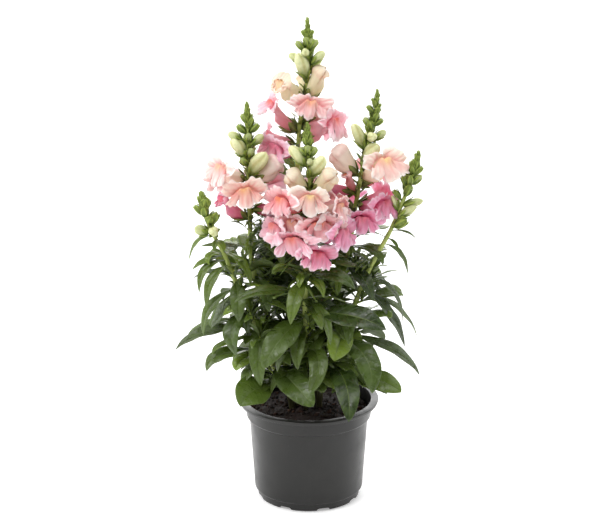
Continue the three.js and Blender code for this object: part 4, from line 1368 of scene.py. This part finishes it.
def bud_patches(row: BudRow, root: Array, stem: float, seed: int, small: bool = False) -> list[Patch]:
    """A bud's body, its sepals, its stalk and the small leaf under it.

    Args:
        row: the bud's measures.
        root: where it leaves the stem's middle line.
        stem: the stem's radius there.
        seed: for the small leaf.
        small: leaves out the stalk and leaf of the tiniest buds.

    Returns:
        The patches, on the piece's second finish.
    """
    row = replace(row, width=row.width * (BUD_WIDTH + BUD_WIDTH_RIPE * row.ripe),
                  length=row.length * (BUD_LENGTH + BUD_LENGTH_RIPE * row.ripe))
    axis = Axis.facing(root, row.turn, row.rise)
    start = stem * 0.8 + row.stalk
    cup = row.length * (1.10 - 0.72 * row.ripe**0.8)
    at = np.linspace(0, min(1.0, cup / row.length), CUP_RINGS)
    half = through_keys(at, BODY_KEYS, BODY_HALF) * row.width / 2 * 1.05 + 0.25
    half = half * (1 + 0.25 * row.ripe * ease(np.linspace(0, 1, CUP_RINGS), 0.6, 1.0))
    sides = 8 if small else 12 if row.ripe < 0.5 else 24
    patches = [closed_bud(axis, start, row, seed, sides), calyx(axis, start - 0.3, cup, half, 20)]
    if small:
        return patches
    line = np.stack([root, root + axis.along * start * 0.6, root + axis.along * (start + 0.6)])
    patches.append(swept(line, np.array([0.7, 0.75, 0.9]), 6, SEPAL_GREEN, 1))
    patches.append(bract(root, row.turn, 3.5 + 0.45 * row.length, 1.6 + 0.12 * row.length,
                         row.rise - 18, seed))
    return patches


def bract(root: Array, turn: float, length: float, width: float, rise: float, seed: int) -> Patch:
    """A small leaf under a bud or flower."""
    rng = np.random.default_rng(seed)
    tip = root + heading(turn + rng.normal(0, 8), rise) * length
    patch = young_leaf(root, tip, width, length * 0.12, rng.normal(0, 0.4), rng.normal(0, 12), 0.35, seed,
                       thick=0.3)
    tint = colours(len(patch.points), blend(SEPAL_GREEN, SEPAL_LIGHT, rng.uniform(0.12, 0.65)))
    return replace(patch, tint=tint, finish=1)


@dataclass(frozen=True)
class Flower:
    """One snapdragon flower: stalk, calyx, and a corolla of a tube, a palate and two lips.

    Key values are in millimetres for a reach of 28, over the share of the way from the corolla's
    base to the lips' edge. LOWER_HIGH counts downwards: the lower lip rises to the palate's crest
    and falls again. A lobe has its end, middle and half width in degrees from the flower's top.
    """

    row: FlowerRow
    stem: str
    seed: int
    rows: int = 27
    cols: int = 128

    KEYS = (0.0, 0.12, 0.30, 0.45, 0.56, 0.64, 0.72, 0.80, 0.90, 1.0)
    UPPER_ALONG = (5, 8, 13, 18, 21.5, 25.0, 27.8, 29.0, 28.4, 26.4)
    UPPER_HIGH = (2.2, 3.8, 4.6, 5.0, 5.8, 6.6, 8.2, 10.2, 12.0, 12.8)
    UPPER_WIDE = (2.2, 3.8, 4.8, 5.6, 6.6, 8.6, 12.0, 16.0, 19.8, 22.6)
    LOWER_ALONG = (5, 8, 13, 18, 21.5, 26.4, 29.6, 31.0, 31.0, 28.8)
    LOWER_HIGH = (2.2, 4.2, 5.8, 6.2, 0.5, -5.4, -2.6, 2.2, 7.2, 11.0)
    LOWER_WIDE = (2.2, 3.8, 4.8, 5.6, 6.4, 8.2, 10.4, 12.8, 15.2, 16.8)
    SHUT_ALONG = (5, 8, 12, 16, 19, 21.5, 24.0, 26.4, 28.6, 29.4)
    SHUT_HIGH = (2.2, 4.6, 6.8, 8.4, 9.6, 10.2, 10.0, 8.8, 5.6, 0.9)
    SHUT_LOW = (2.2, 4.8, 6.8, 8.0, 8.6, 8.6, 8.0, 6.4, 4.0, 0.8)
    MOUTH = 0.60
    REACH = 28.0

    # The lips' lobes, the corner between the lips, and the count and depth of their edge's small waves.
    LOBE_ENDS = (54, 92, 154)
    LOBE_MIDDLES = (54.0, 54.0, 124.0, 180.0)
    LOBE_HALVES = (54.0, 38.0, 31.0, 26.0)
    LIP_SIDE = (80, 100)
    RAGGED = ((9, 0.030), (17, 0.019), (27, 0.013))
    LOBE_SIZES = (0.88, 1.10)

    # The palate's two humps, each lobe's crown, the folds, the skin and the calyx.
    PALATE_AT, PALATE_SIDE, PALATE_UP, PALATE_OUT = 0.68, 3.6, 1.8, 2.8
    CROWN, CROWN_BACK = 3.2, 1.4
    FOLD_DEPTH, TUBE_FOLD_DEPTH, FRILL_DEPTH = 1.65, 0.30, 0.75
    FRILL_COUNTS = (14, 28)
    SKIN = 0.34
    CUP_HALF = (1.2, 3.4, 4.6, 5.4, 6.0, 6.4)

    def off_lobe(self, angle: Array) -> Array:
        """0 along a lobe's middle to 1 where it meets the next: two upper lobes and three lower ones."""
        before = [angle < end for end in self.LOBE_ENDS]
        middle = np.select(before, self.LOBE_MIDDLES[:-1], self.LOBE_MIDDLES[-1])
        half = np.select(before, self.LOBE_HALVES[:-1], self.LOBE_HALVES[-1])
        return np.abs(angle - middle) / half

    def lobe_share(self, angle: Array) -> Array:
        """How far each part of the edge reaches: rounded lobes with narrow notches between them.

        Args:
            angle: degrees from the top of the flower, 0 to 180 on either side.

        Returns:
            Shares of the full lip: 1 - 0.18 d^2 - 0.34 d^6, less at the corners of the mouth.
        """
        d = self.off_lobe(angle)
        return (1 - 0.18 * d**2 - 0.34 * d**6) * (1 - 0.30 * bell(angle, 93, 10))

    @staticmethod
    def crumple(a: Array, v: Array, rng: np.random.Generator, counts: tuple[int, int] = (2, 9),
                waves: int = 20) -> Array:
        """Folds like those of thin paper: waves that run round and out, finer ones weaker.

        Args:
            a: the meridians' angles.
            v: shares along them, as a column.
            rng: the seeded source of the waves.
            counts: the fewest and the most waves round the flower.
            waves: how many are added.

        Returns:
            Values of about -1 to 1 over the grid.
        """
        total = np.zeros((len(v), len(a)))
        for k in rng.integers(*counts, waves):
            wave = np.sin(k * a + rng.uniform(-22, 22) * v + rng.uniform(0, FULL_TURN))
            total += wave * (counts[0] / k) ** 0.6
        return total * 1.5 / math.sqrt(waves)

    def corolla(self, axis: Axis, scale: float) -> Patch:
        """The corolla's closed skin.

        Each meridian follows the upper or the lower keys, blended at the corners of the mouth; its
        height goes with |cos a|^0.8 and its width with sin a. The lips' edge is cut into lobes by
        stopping a meridian early, each lobe is crowned along its middle, and the skin crumples more
        towards the edge. A young flower's tube opens first, and its lips with the cube of its gape.

        Args:
            axis: the flower's place and directions.
            scale: its size beside the key values.

        Returns:
            The patch, on the piece's first finish.
        """
        rng = np.random.default_rng(self.seed)
        row = self.row
        v = np.concatenate([np.linspace(0, 0.45, 6), np.linspace(0.5, 0.97, self.rows - 7), [1.0]])[:, None]
        a = around(self.cols)
        off_top = np.degrees(np.abs(np.arctan2(np.sin(a), np.cos(a))))
        *own, spread_phase = rng.uniform(0, FULL_TURN, len(self.RAGGED) + 1)
        ragged = sum(deep * np.sin(count * a + phase)
                     for (count, deep), phase in zip(self.RAGGED, own, strict=True))
        lobes = self.lobe_share(off_top) + ragged * ease(v, 0.8, 1.0)
        share = np.where(v > self.MOUTH, self.MOUTH + (v - self.MOUTH) * lobes, v + 0 * a)
        share = np.clip(share, 0, 1)
        low = ease(off_top, *self.LIP_SIDE)
        tall = np.abs(np.cos(a)) ** 0.8
        size = rng.uniform(*self.LOBE_SIZES, 4)

        def keyed(values: tuple[float, ...], at: Array) -> Array:
            return through_keys(at, self.KEYS, values)

        edge = np.clip((v - self.MOUTH) / (1 - self.MOUTH), 0, 1)
        grown = 1 + (size - 1)[:, None, None] * edge
        along = blend(keyed(self.UPPER_ALONG, share), keyed(self.LOWER_ALONG, share), low)
        high = (keyed(self.UPPER_HIGH, share) * (1 - low) * grown[0]
                - keyed(self.LOWER_HIGH, share) * low * grown[1])
        wide = (keyed(self.UPPER_WIDE, share) * (1 - low) * grown[2]
                + keyed(self.LOWER_WIDE, share) * low * grown[3])
        up, across = high * tall, wide * np.sin(a)
        humps = bell(across, self.PALATE_SIDE, 2.2) + bell(across, -self.PALATE_SIDE, 2.2)
        hump = bell(share, self.PALATE_AT, 0.055) * low * humps
        up, along = up + self.PALATE_UP * hump, along + self.PALATE_OUT * hump
        crown = 1 - self.off_lobe(off_top) ** 2
        folds, frill = self.crumple(a, v, rng), self.crumple(a, v, rng, self.FRILL_COUNTS)
        along = along + (self.CROWN * crown - self.CROWN_BACK) * edge**1.2
        spread = 1 + edge * 0.08 * np.sin(5 * a + spread_phase)
        up, across = up * spread, across * spread
        shut_high = blend(keyed(self.SHUT_HIGH, v), keyed(self.SHUT_LOW, v), low)
        seam = bell(off_top, 98, 8) * ease(v, 0.35, 0.7)
        over = ease(off_top, 98, 90) * bell(v, 0.78, 0.2)
        shut_high = shut_high * (1 - 0.22 * seam + 0.06 * over)
        shut_along = keyed(self.SHUT_ALONG, v) - 1.6 * low * ease(v, 0.6, 1.0)
        open_tube, out = float(ease(row.gape, 0.15, 0.75)), ease(edge, 0.0, 0.6)
        gape = blend(open_tube, row.gape**3, out)
        girth = row.girth + (1 - row.girth) * edge * row.gape**3
        points = axis.place(
            (shut_along + (along - shut_along) * gape) * scale,
            (shut_high * np.cos(a) + (up - shut_high * np.cos(a)) * gape) * scale * girth,
            (shut_high * np.sin(a) + (across - shut_high * np.sin(a)) * gape) * scale * girth)
        depth = self.FOLD_DEPTH * edge**1.4 * gape + self.TUBE_FOLD_DEPTH * ease(v, 0.2, 0.5) * (1 - v)
        relief = folds * depth + frill * self.FRILL_DEPTH * edge**2.2 * (0.3 + 0.7 * gape)
        points = points + grid_normals(points, True) * (relief * scale)[..., None]
        half_skin = grid_normals(points, True) * (self.SKIN * (1 - 0.6 * edge**3))[..., None] / 2
        tint = np.zeros((2, len(v), self.cols, 4))
        # crests of the folds and the lobes' crowns: where colour() paints highlight, and shade where low
        high_side = np.clip(0.5 + 0.15 * folds + 0.15 * frill + 0.34 * (crown - 0.5), 0, 1)
        tint[..., :3] = self.colour(v, edge, low, across, share, high_side, 0.1 + 0.9 * row.gape)
        # painted shade: darker and warmer along the groove between a closed flower's lips
        tint[..., :3] *= 1 - np.array([0.08, 0.22, 0.24]) * (seam * (1 - row.gape))[..., None]
        return shell(points + half_skin, points - half_skin, True, tint, 0)

    def colour(self, v: Array, edge: Array, low: Array, across: Array, share: Array,
               relief: Array, depth: float) -> Array:
        """Colour over the corolla.

        Tube, then lip, paler at the edge, with painted highlight on the crests of the folds and
        painted shade in their valleys, a deeper band near the lips' foot, and the palate's own patch.
        """
        palette = self.row.tone.value
        out = ease(np.broadcast_to(v, across.shape), 0.15, 0.66)[..., None]
        mixed = blend(palette.tube, blend(palette.upper, palette.lower, low[:, None]), out)
        # painted shade: darker in the folds' valleys towards the edge; plus a deeper band near the lips' foot
        painted_fold_shade_and_deep_band = np.clip((1 - relief) * edge**0.4 * (1.2 - 0.55 * edge) + 0.34 * bell(edge, 0.22, 0.18), 0, 1)
        mixed = mixed * (1 - depth * painted_fold_shade_and_deep_band[..., None] * np.array([0.08, 0.52, 0.44]))
        # the lips' own paler edge, plus painted highlight on the crests of the folds near the edge
        rim = (np.clip(0.50 * edge**2 * (0.2 + 1.2 * relief) + 1.0 * edge**8, 0, 1))[..., None] * 0.95
        patch = (bell(share, self.PALATE_AT, 0.065) * low * bell(across, 0, 5.2))[..., None]
        return blend(blend(mixed, palette.edge, rim), palette.palate, patch)

    def patches(self) -> list[Patch]:
        """All of the flower's surfaces: corolla, calyx, stalk and the small leaf below it."""
        row, line = self.row, LINES[self.stem]
        root = line.at(row.height)
        scale = row.reach / self.REACH
        spin = row.spin + 9 * math.sin(7.0 * self.seed)
        axis = Axis.facing(root, row.turn, row.rise, spin)
        stalk = np.stack([root, root + axis.along * 3 * scale, root + axis.along * 5.5 * scale])
        green = [
            calyx(axis, 3.6 * scale, 9.5 * scale, np.array(self.CUP_HALF) * scale, greens=CUP_GREENS),
            swept(stalk, np.array([0.9, 0.95, 1.3]), 8, SEPAL_GREEN, 1),
            bract(root, row.turn, 11 * scale, 3.6, row.rise - 40, self.seed),
        ]
        return [self.corolla(axis, scale), *green]


@dataclass
class FloweringStem:
    """One stem with its closed buds, and the flowers that open on it."""

    name: str
    finishes: Finishes
    seed: int
    rings: int = 110
    sides: int = 14
    joint_gap: float = 11.0
    joint_swell: float = 0.06
    scale_gap: float = 1.9

    BUD_SEEDS, FLOWER_SEEDS, HIDDEN_SEEDS, SCALE_SEEDS = 100, 50, 25, 1000
    SMALL_GAPE = 0.6

    def stalk(self) -> Patch:
        """The stalk: a round sweep up the stem's line, with faint swellings where leaves join."""
        line = LINES[self.name]
        z = np.linspace(line.foot, line.top, self.rings)
        radius = line.radius(z) * (1 + self.joint_swell * np.sin(z * FULL_TURN / self.joint_gap))
        return swept(line.at(z), radius, self.sides, SEPAL_GREEN, 0)

    def buds(self) -> list[Patch]:
        """The larger buds from their rows, then the spire: tiny buds in a golden-angle spiral."""
        rng = np.random.default_rng(self.seed)
        stem, line = STEMS[self.name], LINES[self.name]
        patches = []
        for i, row in enumerate(BUDS[self.name]):
            patches += bud_patches(row, line.at(row.height), float(line.radius(row.height)),
                                   self.seed * self.BUD_SEEDS + i)
        for i in range(stem.spire_count):
            share = i / (stem.spire_count - 1)
            height = stem.spire_foot + (line.top - 2.0 - stem.spire_foot) * share
            length = stem.spire_size * (1 - 0.45 * share)
            row = BudRow(height, i * GOLDEN_TURN + 70, 58 + 27 * share + rng.normal(0, 5), 0.0, length,
                         length * 0.46, 0.0)
            patches += bud_patches(row, line.at(height), float(line.radius(height)), 0, small=True)
        if self.name in FLOWERS:
            patches += self.scales(min(row.height for row in FLOWERS[self.name]), stem.spire_foot)
        return patches

    def scales(self, low: float, high: float) -> list[Patch]:
        """Small pointed leaves that crowd the stalk among its flowers and buds."""
        line = LINES[self.name]
        patches = []
        for i, share in enumerate(np.linspace(0, 1, round((high - low) / self.scale_gap)) ** 0.85):
            height = low + (high - low) * share
            patches.append(bract(line.at(height), i * GOLDEN_TURN, 12.5 - 3.0 * share, 3.6 - 0.8 * share,
                                 38 + 22 * share, self.seed * self.SCALE_SEEDS + i))
        return patches

    def build(self) -> None:
        """Makes the stem with its buds, then each of its flowers."""
        build_piece(f"stalk_{self.name}", [self.stalk(), *self.buds()],
                    [self.finishes.stalk, self.finishes.green], (f"stem_{self.name}",))
        shown, hidden = FLOWERS.get(self.name, ()), HIDDEN_FLOWERS.get(self.name, ())
        petal_and_green = [self.finishes.petal, self.finishes.green]
        seed = self.seed * self.FLOWER_SEEDS
        for i, row in enumerate(shown, start=1):
            cols = 72 if row.gape < self.SMALL_GAPE else Flower.cols
            build_piece(f"bloom_{self.name}_{i}", Flower(row, self.name, seed + i, cols=cols).patches(),
                        petal_and_green,
                        (f"flower_{self.name}_{i}",))
        for i, row in enumerate(hidden, start=1):
            flower = Flower(row, self.name, seed + self.HIDDEN_SEEDS + i, rows=20, cols=64)
            build_piece(f"bloom_{self.name}_side_{i}", flower.patches(), petal_and_green)
        log.info("stem %s: %d large buds, %d flowers", self.name, len(BUDS[self.name]),
                 len(shown) + len(hidden))


# ------------------------------------------------------------------ pot and soil


@dataclass(frozen=True)
class Pot:
    """The round nursery pot: tapered cup, collar, flat lip and arched drain notches."""

    finishes: Finishes
    height: float = 88.0
    rim: float = 60.0
    lip: float = 1.6
    turn_down: float = 3.2
    band_top: float = 54.5
    band_foot: float = 53.3
    band_height: float = 73.0
    body_top: float = 50.8
    kink: float = 46.4
    kink_height: float = 9.0
    base: float = 43.0
    wall: float = 1.3
    floor: float = 1.5
    drains: int = 8
    drain_width: float = 12.5
    drain_height: float = 2.8
    drain_depth: float = 9.0
    drain_turn: float = 17.0
    sides: int = 192
    middle: float = 0.02

    def outline(self) -> Array:
        """The half outline as corners [radius, height, rounding], then rounded by small arcs."""
        lip_foot = self.height - self.lip
        corners = [
            (self.base - 2.0, 0.0, 0.5), (self.base + 0.3, 0.8, 0.8),
            (self.base + 1.2, self.kink_height - 2.2, 0.5),
            (self.kink - 0.3, self.kink_height - 0.9, 0.4), (self.kink, self.kink_height + 0.3, 0.4),
            (self.body_top, self.band_height - 1, 0.6), (self.band_foot, self.band_height, 1.3),
            (self.band_top, lip_foot, 0.9), (self.rim - self.lip, lip_foot, 0.5),
            (self.rim - 2.0, self.height - self.turn_down, 0.2),
            (self.rim - 1.1, self.height - self.turn_down, 0.3), (self.rim, self.height, 0.8),
            (self.band_top - self.wall, self.height, 0.7),
            (self.band_foot - self.wall, self.band_height + 1.2, 0.5),
            (self.body_top - self.wall, self.band_height, 0.5),
            (self.kink - self.wall, self.kink_height, 0.4),
            (self.base - 0.2, self.drain_height + 0.8, 0.6), (self.base - self.wall, self.floor, 0.5),
        ]
        ring = np.array(corners)
        start, end = np.array([[self.middle, 0.0]]), np.array([[self.middle, self.floor]])
        before = np.concatenate([start, ring[:-1, :2]])
        after = np.concatenate([ring[1:, :2], end])
        eased = [self.rounded(corner[:2], back, ahead, corner[2])
                 for corner, back, ahead in zip(ring, before, after, strict=True)]
        return np.concatenate([start, *eased, end])

    @staticmethod
    def rounded(corner: Array, back: Array, ahead: Array, cut: float, steps: int = 4) -> Array:
        """A corner eased by a quadratic curve that starts and ends `cut` away from it."""
        near = corner + unit(back - corner) * min(cut, np.linalg.norm(back - corner) * 0.45)
        far = corner + unit(ahead - corner) * min(cut, np.linalg.norm(ahead - corner) * 0.45)
        return bent(near, corner, far, np.linspace(0, 1, steps)[:, None])

    def cup(self) -> Patch:
        """The cup: its outline turned about the upright axis."""
        outline, a = self.outline(), around(self.sides)
        r, z = outline[:, :1], outline[:, 1:]
        points = np.stack([r * np.cos(a), r * np.sin(a), z + 0 * a], axis=-1)
        return tube(points, UNREAD_TINT, 0)

    def notch_cutters(self) -> list[Patch]:
        """Arched blocks across the base's edge, one for each drain notch."""
        x = np.linspace(-1, 1, 17)
        arch = np.stack([x * self.drain_width / 2, self.drain_height * (1 - np.abs(x) ** 5) ** 0.5], axis=1)
        foot = np.array([[self.drain_width / 2, -1.0], [-self.drain_width / 2, -1.0]])
        section = np.concatenate([arch, foot])
        blocks = []
        for k in range(self.drains):
            turn = self.drain_turn + k * 360 / self.drains
            out, side = heading(turn, 0), heading(turn + 90, 0)
            depths = np.array([self.base - self.drain_depth, self.base + 8.0])
            points = (out * depths[:, None, None] + side * section[None, :, :1]
                      + np.array([0, 0, 1.0]) * section[None, :, 1:])
            blocks.append(tube(points, UNREAD_TINT, 0))
        return blocks

    def build(self) -> None:
        """Makes the pot and cuts its notches."""
        pot = build_piece("nursery_pot", [self.cup()], [self.finishes.pot], ("pot",))
        cutter = build_piece("notch_cutter", self.notch_cutters(), [self.finishes.pot])
        cut = pot.modifiers.new("notches", "BOOLEAN")
        cut.operation, cut.solver, cut.object = "DIFFERENCE", "EXACT", cutter
        graph = bpy.context.evaluated_depsgraph_get()
        mesh = bpy.data.meshes.new_from_object(pot.evaluated_get(graph))
        pot.modifiers.clear()
        pot.data = mesh
        bpy.data.objects.remove(cutter)
        mesh.set_sharp_from_angle(angle=math.radians(40))
        log.info("pot: %d faces, %d drain notches", len(mesh.polygons), self.drains)


@dataclass(frozen=True)
class Soil:
    """The soil bed, slightly mounded and lumpy, and the crumbs, bark and perlite on top of it."""

    finishes: Finishes
    edge_radius: float = 51.5
    edge_height: float = 77.0
    centre_height: float = 81.0
    middle: float = 0.3
    sides: int = 150
    rings: int = 42
    crumbs: int = 620
    seed: int = 5

    # The bed's wall inside the pot and its underside, as radius and height.
    WALL = ((51.3, 74.8), (48.9, 73.2), (44.4, 9.0), (41.8, 4.4), (40.9, 1.9), (0.3, 1.9))
    # Two sizes of relief: depth and pitch.
    LUMPS, FINE = (0.7, 16.0), (0.35, 5.0)
    # Soil in four browns and a few grains of perlite, with the share of each.
    CRUMB_KINDS = ((0.013, 0.007, 0.005), (0.024, 0.011, 0.007), (0.052, 0.019, 0.010),
                   (0.095, 0.040, 0.021), (0.34, 0.31, 0.27))
    CRUMB_SHARES = (0.48, 0.29, 0.16, 0.06, 0.01)
    CRUMB_SIZES = (0.35, 2.6)
    CRUMB_RINGS = (0.12, 0.38, 0.66, 0.9)

    def height(self, x: Array, y: Array) -> Array:
        """The bed's height: a shallow dome with two sizes of random swell."""
        r = np.hypot(x, y) / self.edge_radius
        dome = self.edge_height + (self.centre_height - self.edge_height) * (1 - r**2)
        flat = np.stack([x, y, 0 * x], axis=-1)
        lumps, fine = (depth * swell(flat, np.random.default_rng(self.seed + i), pitch)
                       for i, (depth, pitch) in enumerate((self.LUMPS, self.FINE)))
        return dome + (lumps + fine) * (1 - 0.6 * r**6)

    def bed(self) -> Patch:
        """The bed as one closed solid: top, wall inside the pot and underside."""
        a = around(self.sides)
        r = np.linspace(self.middle, self.edge_radius, self.rings)[:, None]
        x, y = r * np.cos(a), r * np.sin(a)
        top = np.stack([x, y, self.height(x, y)], axis=-1)
        wall = [np.stack([p * np.cos(a), p * np.sin(a), h + 0 * a], axis=-1) for p, h in self.WALL]
        return tube(np.concatenate([top, np.array(wall)]), UNREAD_TINT, 0)

    def crumb_patch(self) -> Patch:
        """Hundreds of small lumps: one rounded block of 30 faces, each copy scaled and turned."""
        rng = np.random.default_rng(self.seed + 2)
        v, a = np.array(self.CRUMB_RINGS) * math.pi, around(6)
        base = np.stack([np.sin(v)[:, None] * np.cos(a), np.sin(v)[:, None] * np.sin(a),
                         np.cos(v)[:, None] + 0 * a], axis=-1)
        patch = tube(base, UNREAD_TINT, 0)
        n, k = self.crumbs, len(patch.points)
        r = self.edge_radius * 0.985 * np.sqrt(rng.uniform(0.01, 1, n))
        turn = rng.uniform(0, FULL_TURN, n)
        x, y = r * np.cos(turn), r * np.sin(turn)
        size = np.clip(rng.lognormal(-0.15, 0.5, n), *self.CRUMB_SIZES)
        stretch = size[:, None] * np.stack([rng.uniform(0.8, 2.1, n), rng.uniform(0.7, 1.1, n),
                                            rng.uniform(0.4, 0.9, n)], axis=1)
        q, _ = np.linalg.qr(rng.normal(size=(n, 3, 3)))
        knobs = 1 + 0.22 * rng.normal(size=(n, k, 1))
        points = np.einsum("nij,nkj->nki", q, patch.points[None] * knobs * stretch[:, None])
        inside = np.minimum(1.0, (self.edge_radius - 0.4 - size * 1.4) / np.maximum(r, 1e-6))[:, None]
        centre = np.stack([x, y], axis=1) * inside
        z = self.height(centre[:, 0], centre[:, 1]) + size * 0.15
        points = points + np.concatenate([centre, z[:, None]], axis=1)[:, None]
        pick = rng.choice(len(self.CRUMB_KINDS), n, p=self.CRUMB_SHARES)
        tint = colours(n, np.array(self.CRUMB_KINDS)[pick])
        faces = np.where(patch.faces[None] >= 0, patch.faces[None] + (np.arange(n) * k)[:, None, None], -1)
        mirrored = np.linalg.det(q) < 0
        faces[mirrored] = np.take_along_axis(faces[mirrored], back_to_front(faces[mirrored]), axis=-1)
        return Patch(points.reshape(-1, 3), faces.reshape(-1, 4), np.tile(patch.uv, (n, 1, 1)),
                     np.repeat(tint, k, axis=0), 0)

    def build(self) -> None:
        """Makes the bed and its crumbs."""
        build_piece("soil_bed", [self.bed()], [self.finishes.soil], ("soil",))
        build_piece("soil_crumbs", [self.crumb_patch()], [self.finishes.crumb])
        log.info("soil: bed and %d crumbs", self.crumbs)


# ------------------------------------------------------------------ studio


@dataclass(frozen=True)
class Lamp:
    """A square soft light: where it stands, what it faces, its side and its power."""

    name: str
    place: tuple[float, float, float]
    side: float
    power: float
    colour: Colour = WHITE
    aim: tuple[float, float, float] = (0.0, 0.0, 0.2)

    def build(self) -> None:
        """Makes the light."""
        data = bpy.data.lights.new(self.name, "AREA")
        data.shape, data.size, data.energy, data.color = "SQUARE", self.side, self.power, self.colour
        lamp = bpy.data.objects.new(self.name, data)
        way = np.array(self.aim) - np.array(self.place)
        pitch = math.acos(-way[2] / np.linalg.norm(way))
        lamp.location = self.place
        lamp.rotation_euler = (pitch, 0.0, math.atan2(way[1], way[0]) - math.pi / 2)
        bpy.context.scene.collection.objects.link(lamp)


@dataclass(frozen=True)
class Studio:
    """The floor, the soft lights and the camera."""

    camera_place: tuple[float, float, float] = (0.0, -2.0, 0.87)
    pitch_down: float = 18.3
    lens: float = 150.2
    sensor: float = 36.0
    shift: float = -0.0145
    farthest: float = 60.0
    floor_side: float = 24.0
    sky: float = 0.32
    lamps: tuple[Lamp, ...] = field(default=(
        Lamp("key", (-1.0, -1.1, 1.7), 1.0, 24.0),
        Lamp("top", (0.1, 0.2, 2.2), 1.8, 40.0),
        Lamp("left", (-2.0, 0.6, 0.9), 1.8, 28.0),
        Lamp("right", (2.0, 0.6, 0.9), 1.8, 24.0),
        Lamp("back", (0.0, 3.4, 1.2), 2.6, 75.0),
    ))

    def build(self) -> None:
        """Makes the studio."""
        scene = bpy.context.scene
        scene.view_settings.view_transform = "Standard"
        world = bpy.data.worlds.new("studio")
        world.use_nodes = True
        sky = world.node_tree.nodes["Background"].inputs
        sky["Color"].default_value, sky["Strength"].default_value = (*WHITE, 1.0), self.sky
        scene.world = world
        for lamp in self.lamps:
            lamp.build()
        half = self.floor_side / 2
        mesh = bpy.data.meshes.new("studio_floor")
        mesh.from_pydata([(-half, -half, 0), (half, -half, 0), (half, half, 0), (-half, half, 0)], [],
                         [(0, 1, 2, 3)])
        mesh.materials.append(FloorFinish().material())
        floor = bpy.data.objects.new("studio_floor", mesh)
        scene.collection.objects.link(floor)
        data = bpy.data.cameras.new("camera")
        data.lens, data.sensor_width, data.shift_x = self.lens, self.sensor, self.shift
        data.clip_end = self.farthest
        camera = bpy.data.objects.new("camera", data)
        camera.location = self.camera_place
        camera.rotation_euler = (math.radians(90 - self.pitch_down), 0.0, 0.0)
        scene.collection.objects.link(camera)
        scene.camera = camera
        log.info("studio: %d lights", len(self.lamps))


def main() -> None:
    """Builds the studio and every piece of the plant."""
    Studio().build()
    finishes = Finishes()
    Pot(finishes).build()
    Soil(finishes).build()
    for number, name in enumerate(STEMS, start=1):
        FloweringStem(name, finishes, number).build()
    Foliage(finishes).build()


if __name__ == "__main__":
    main()
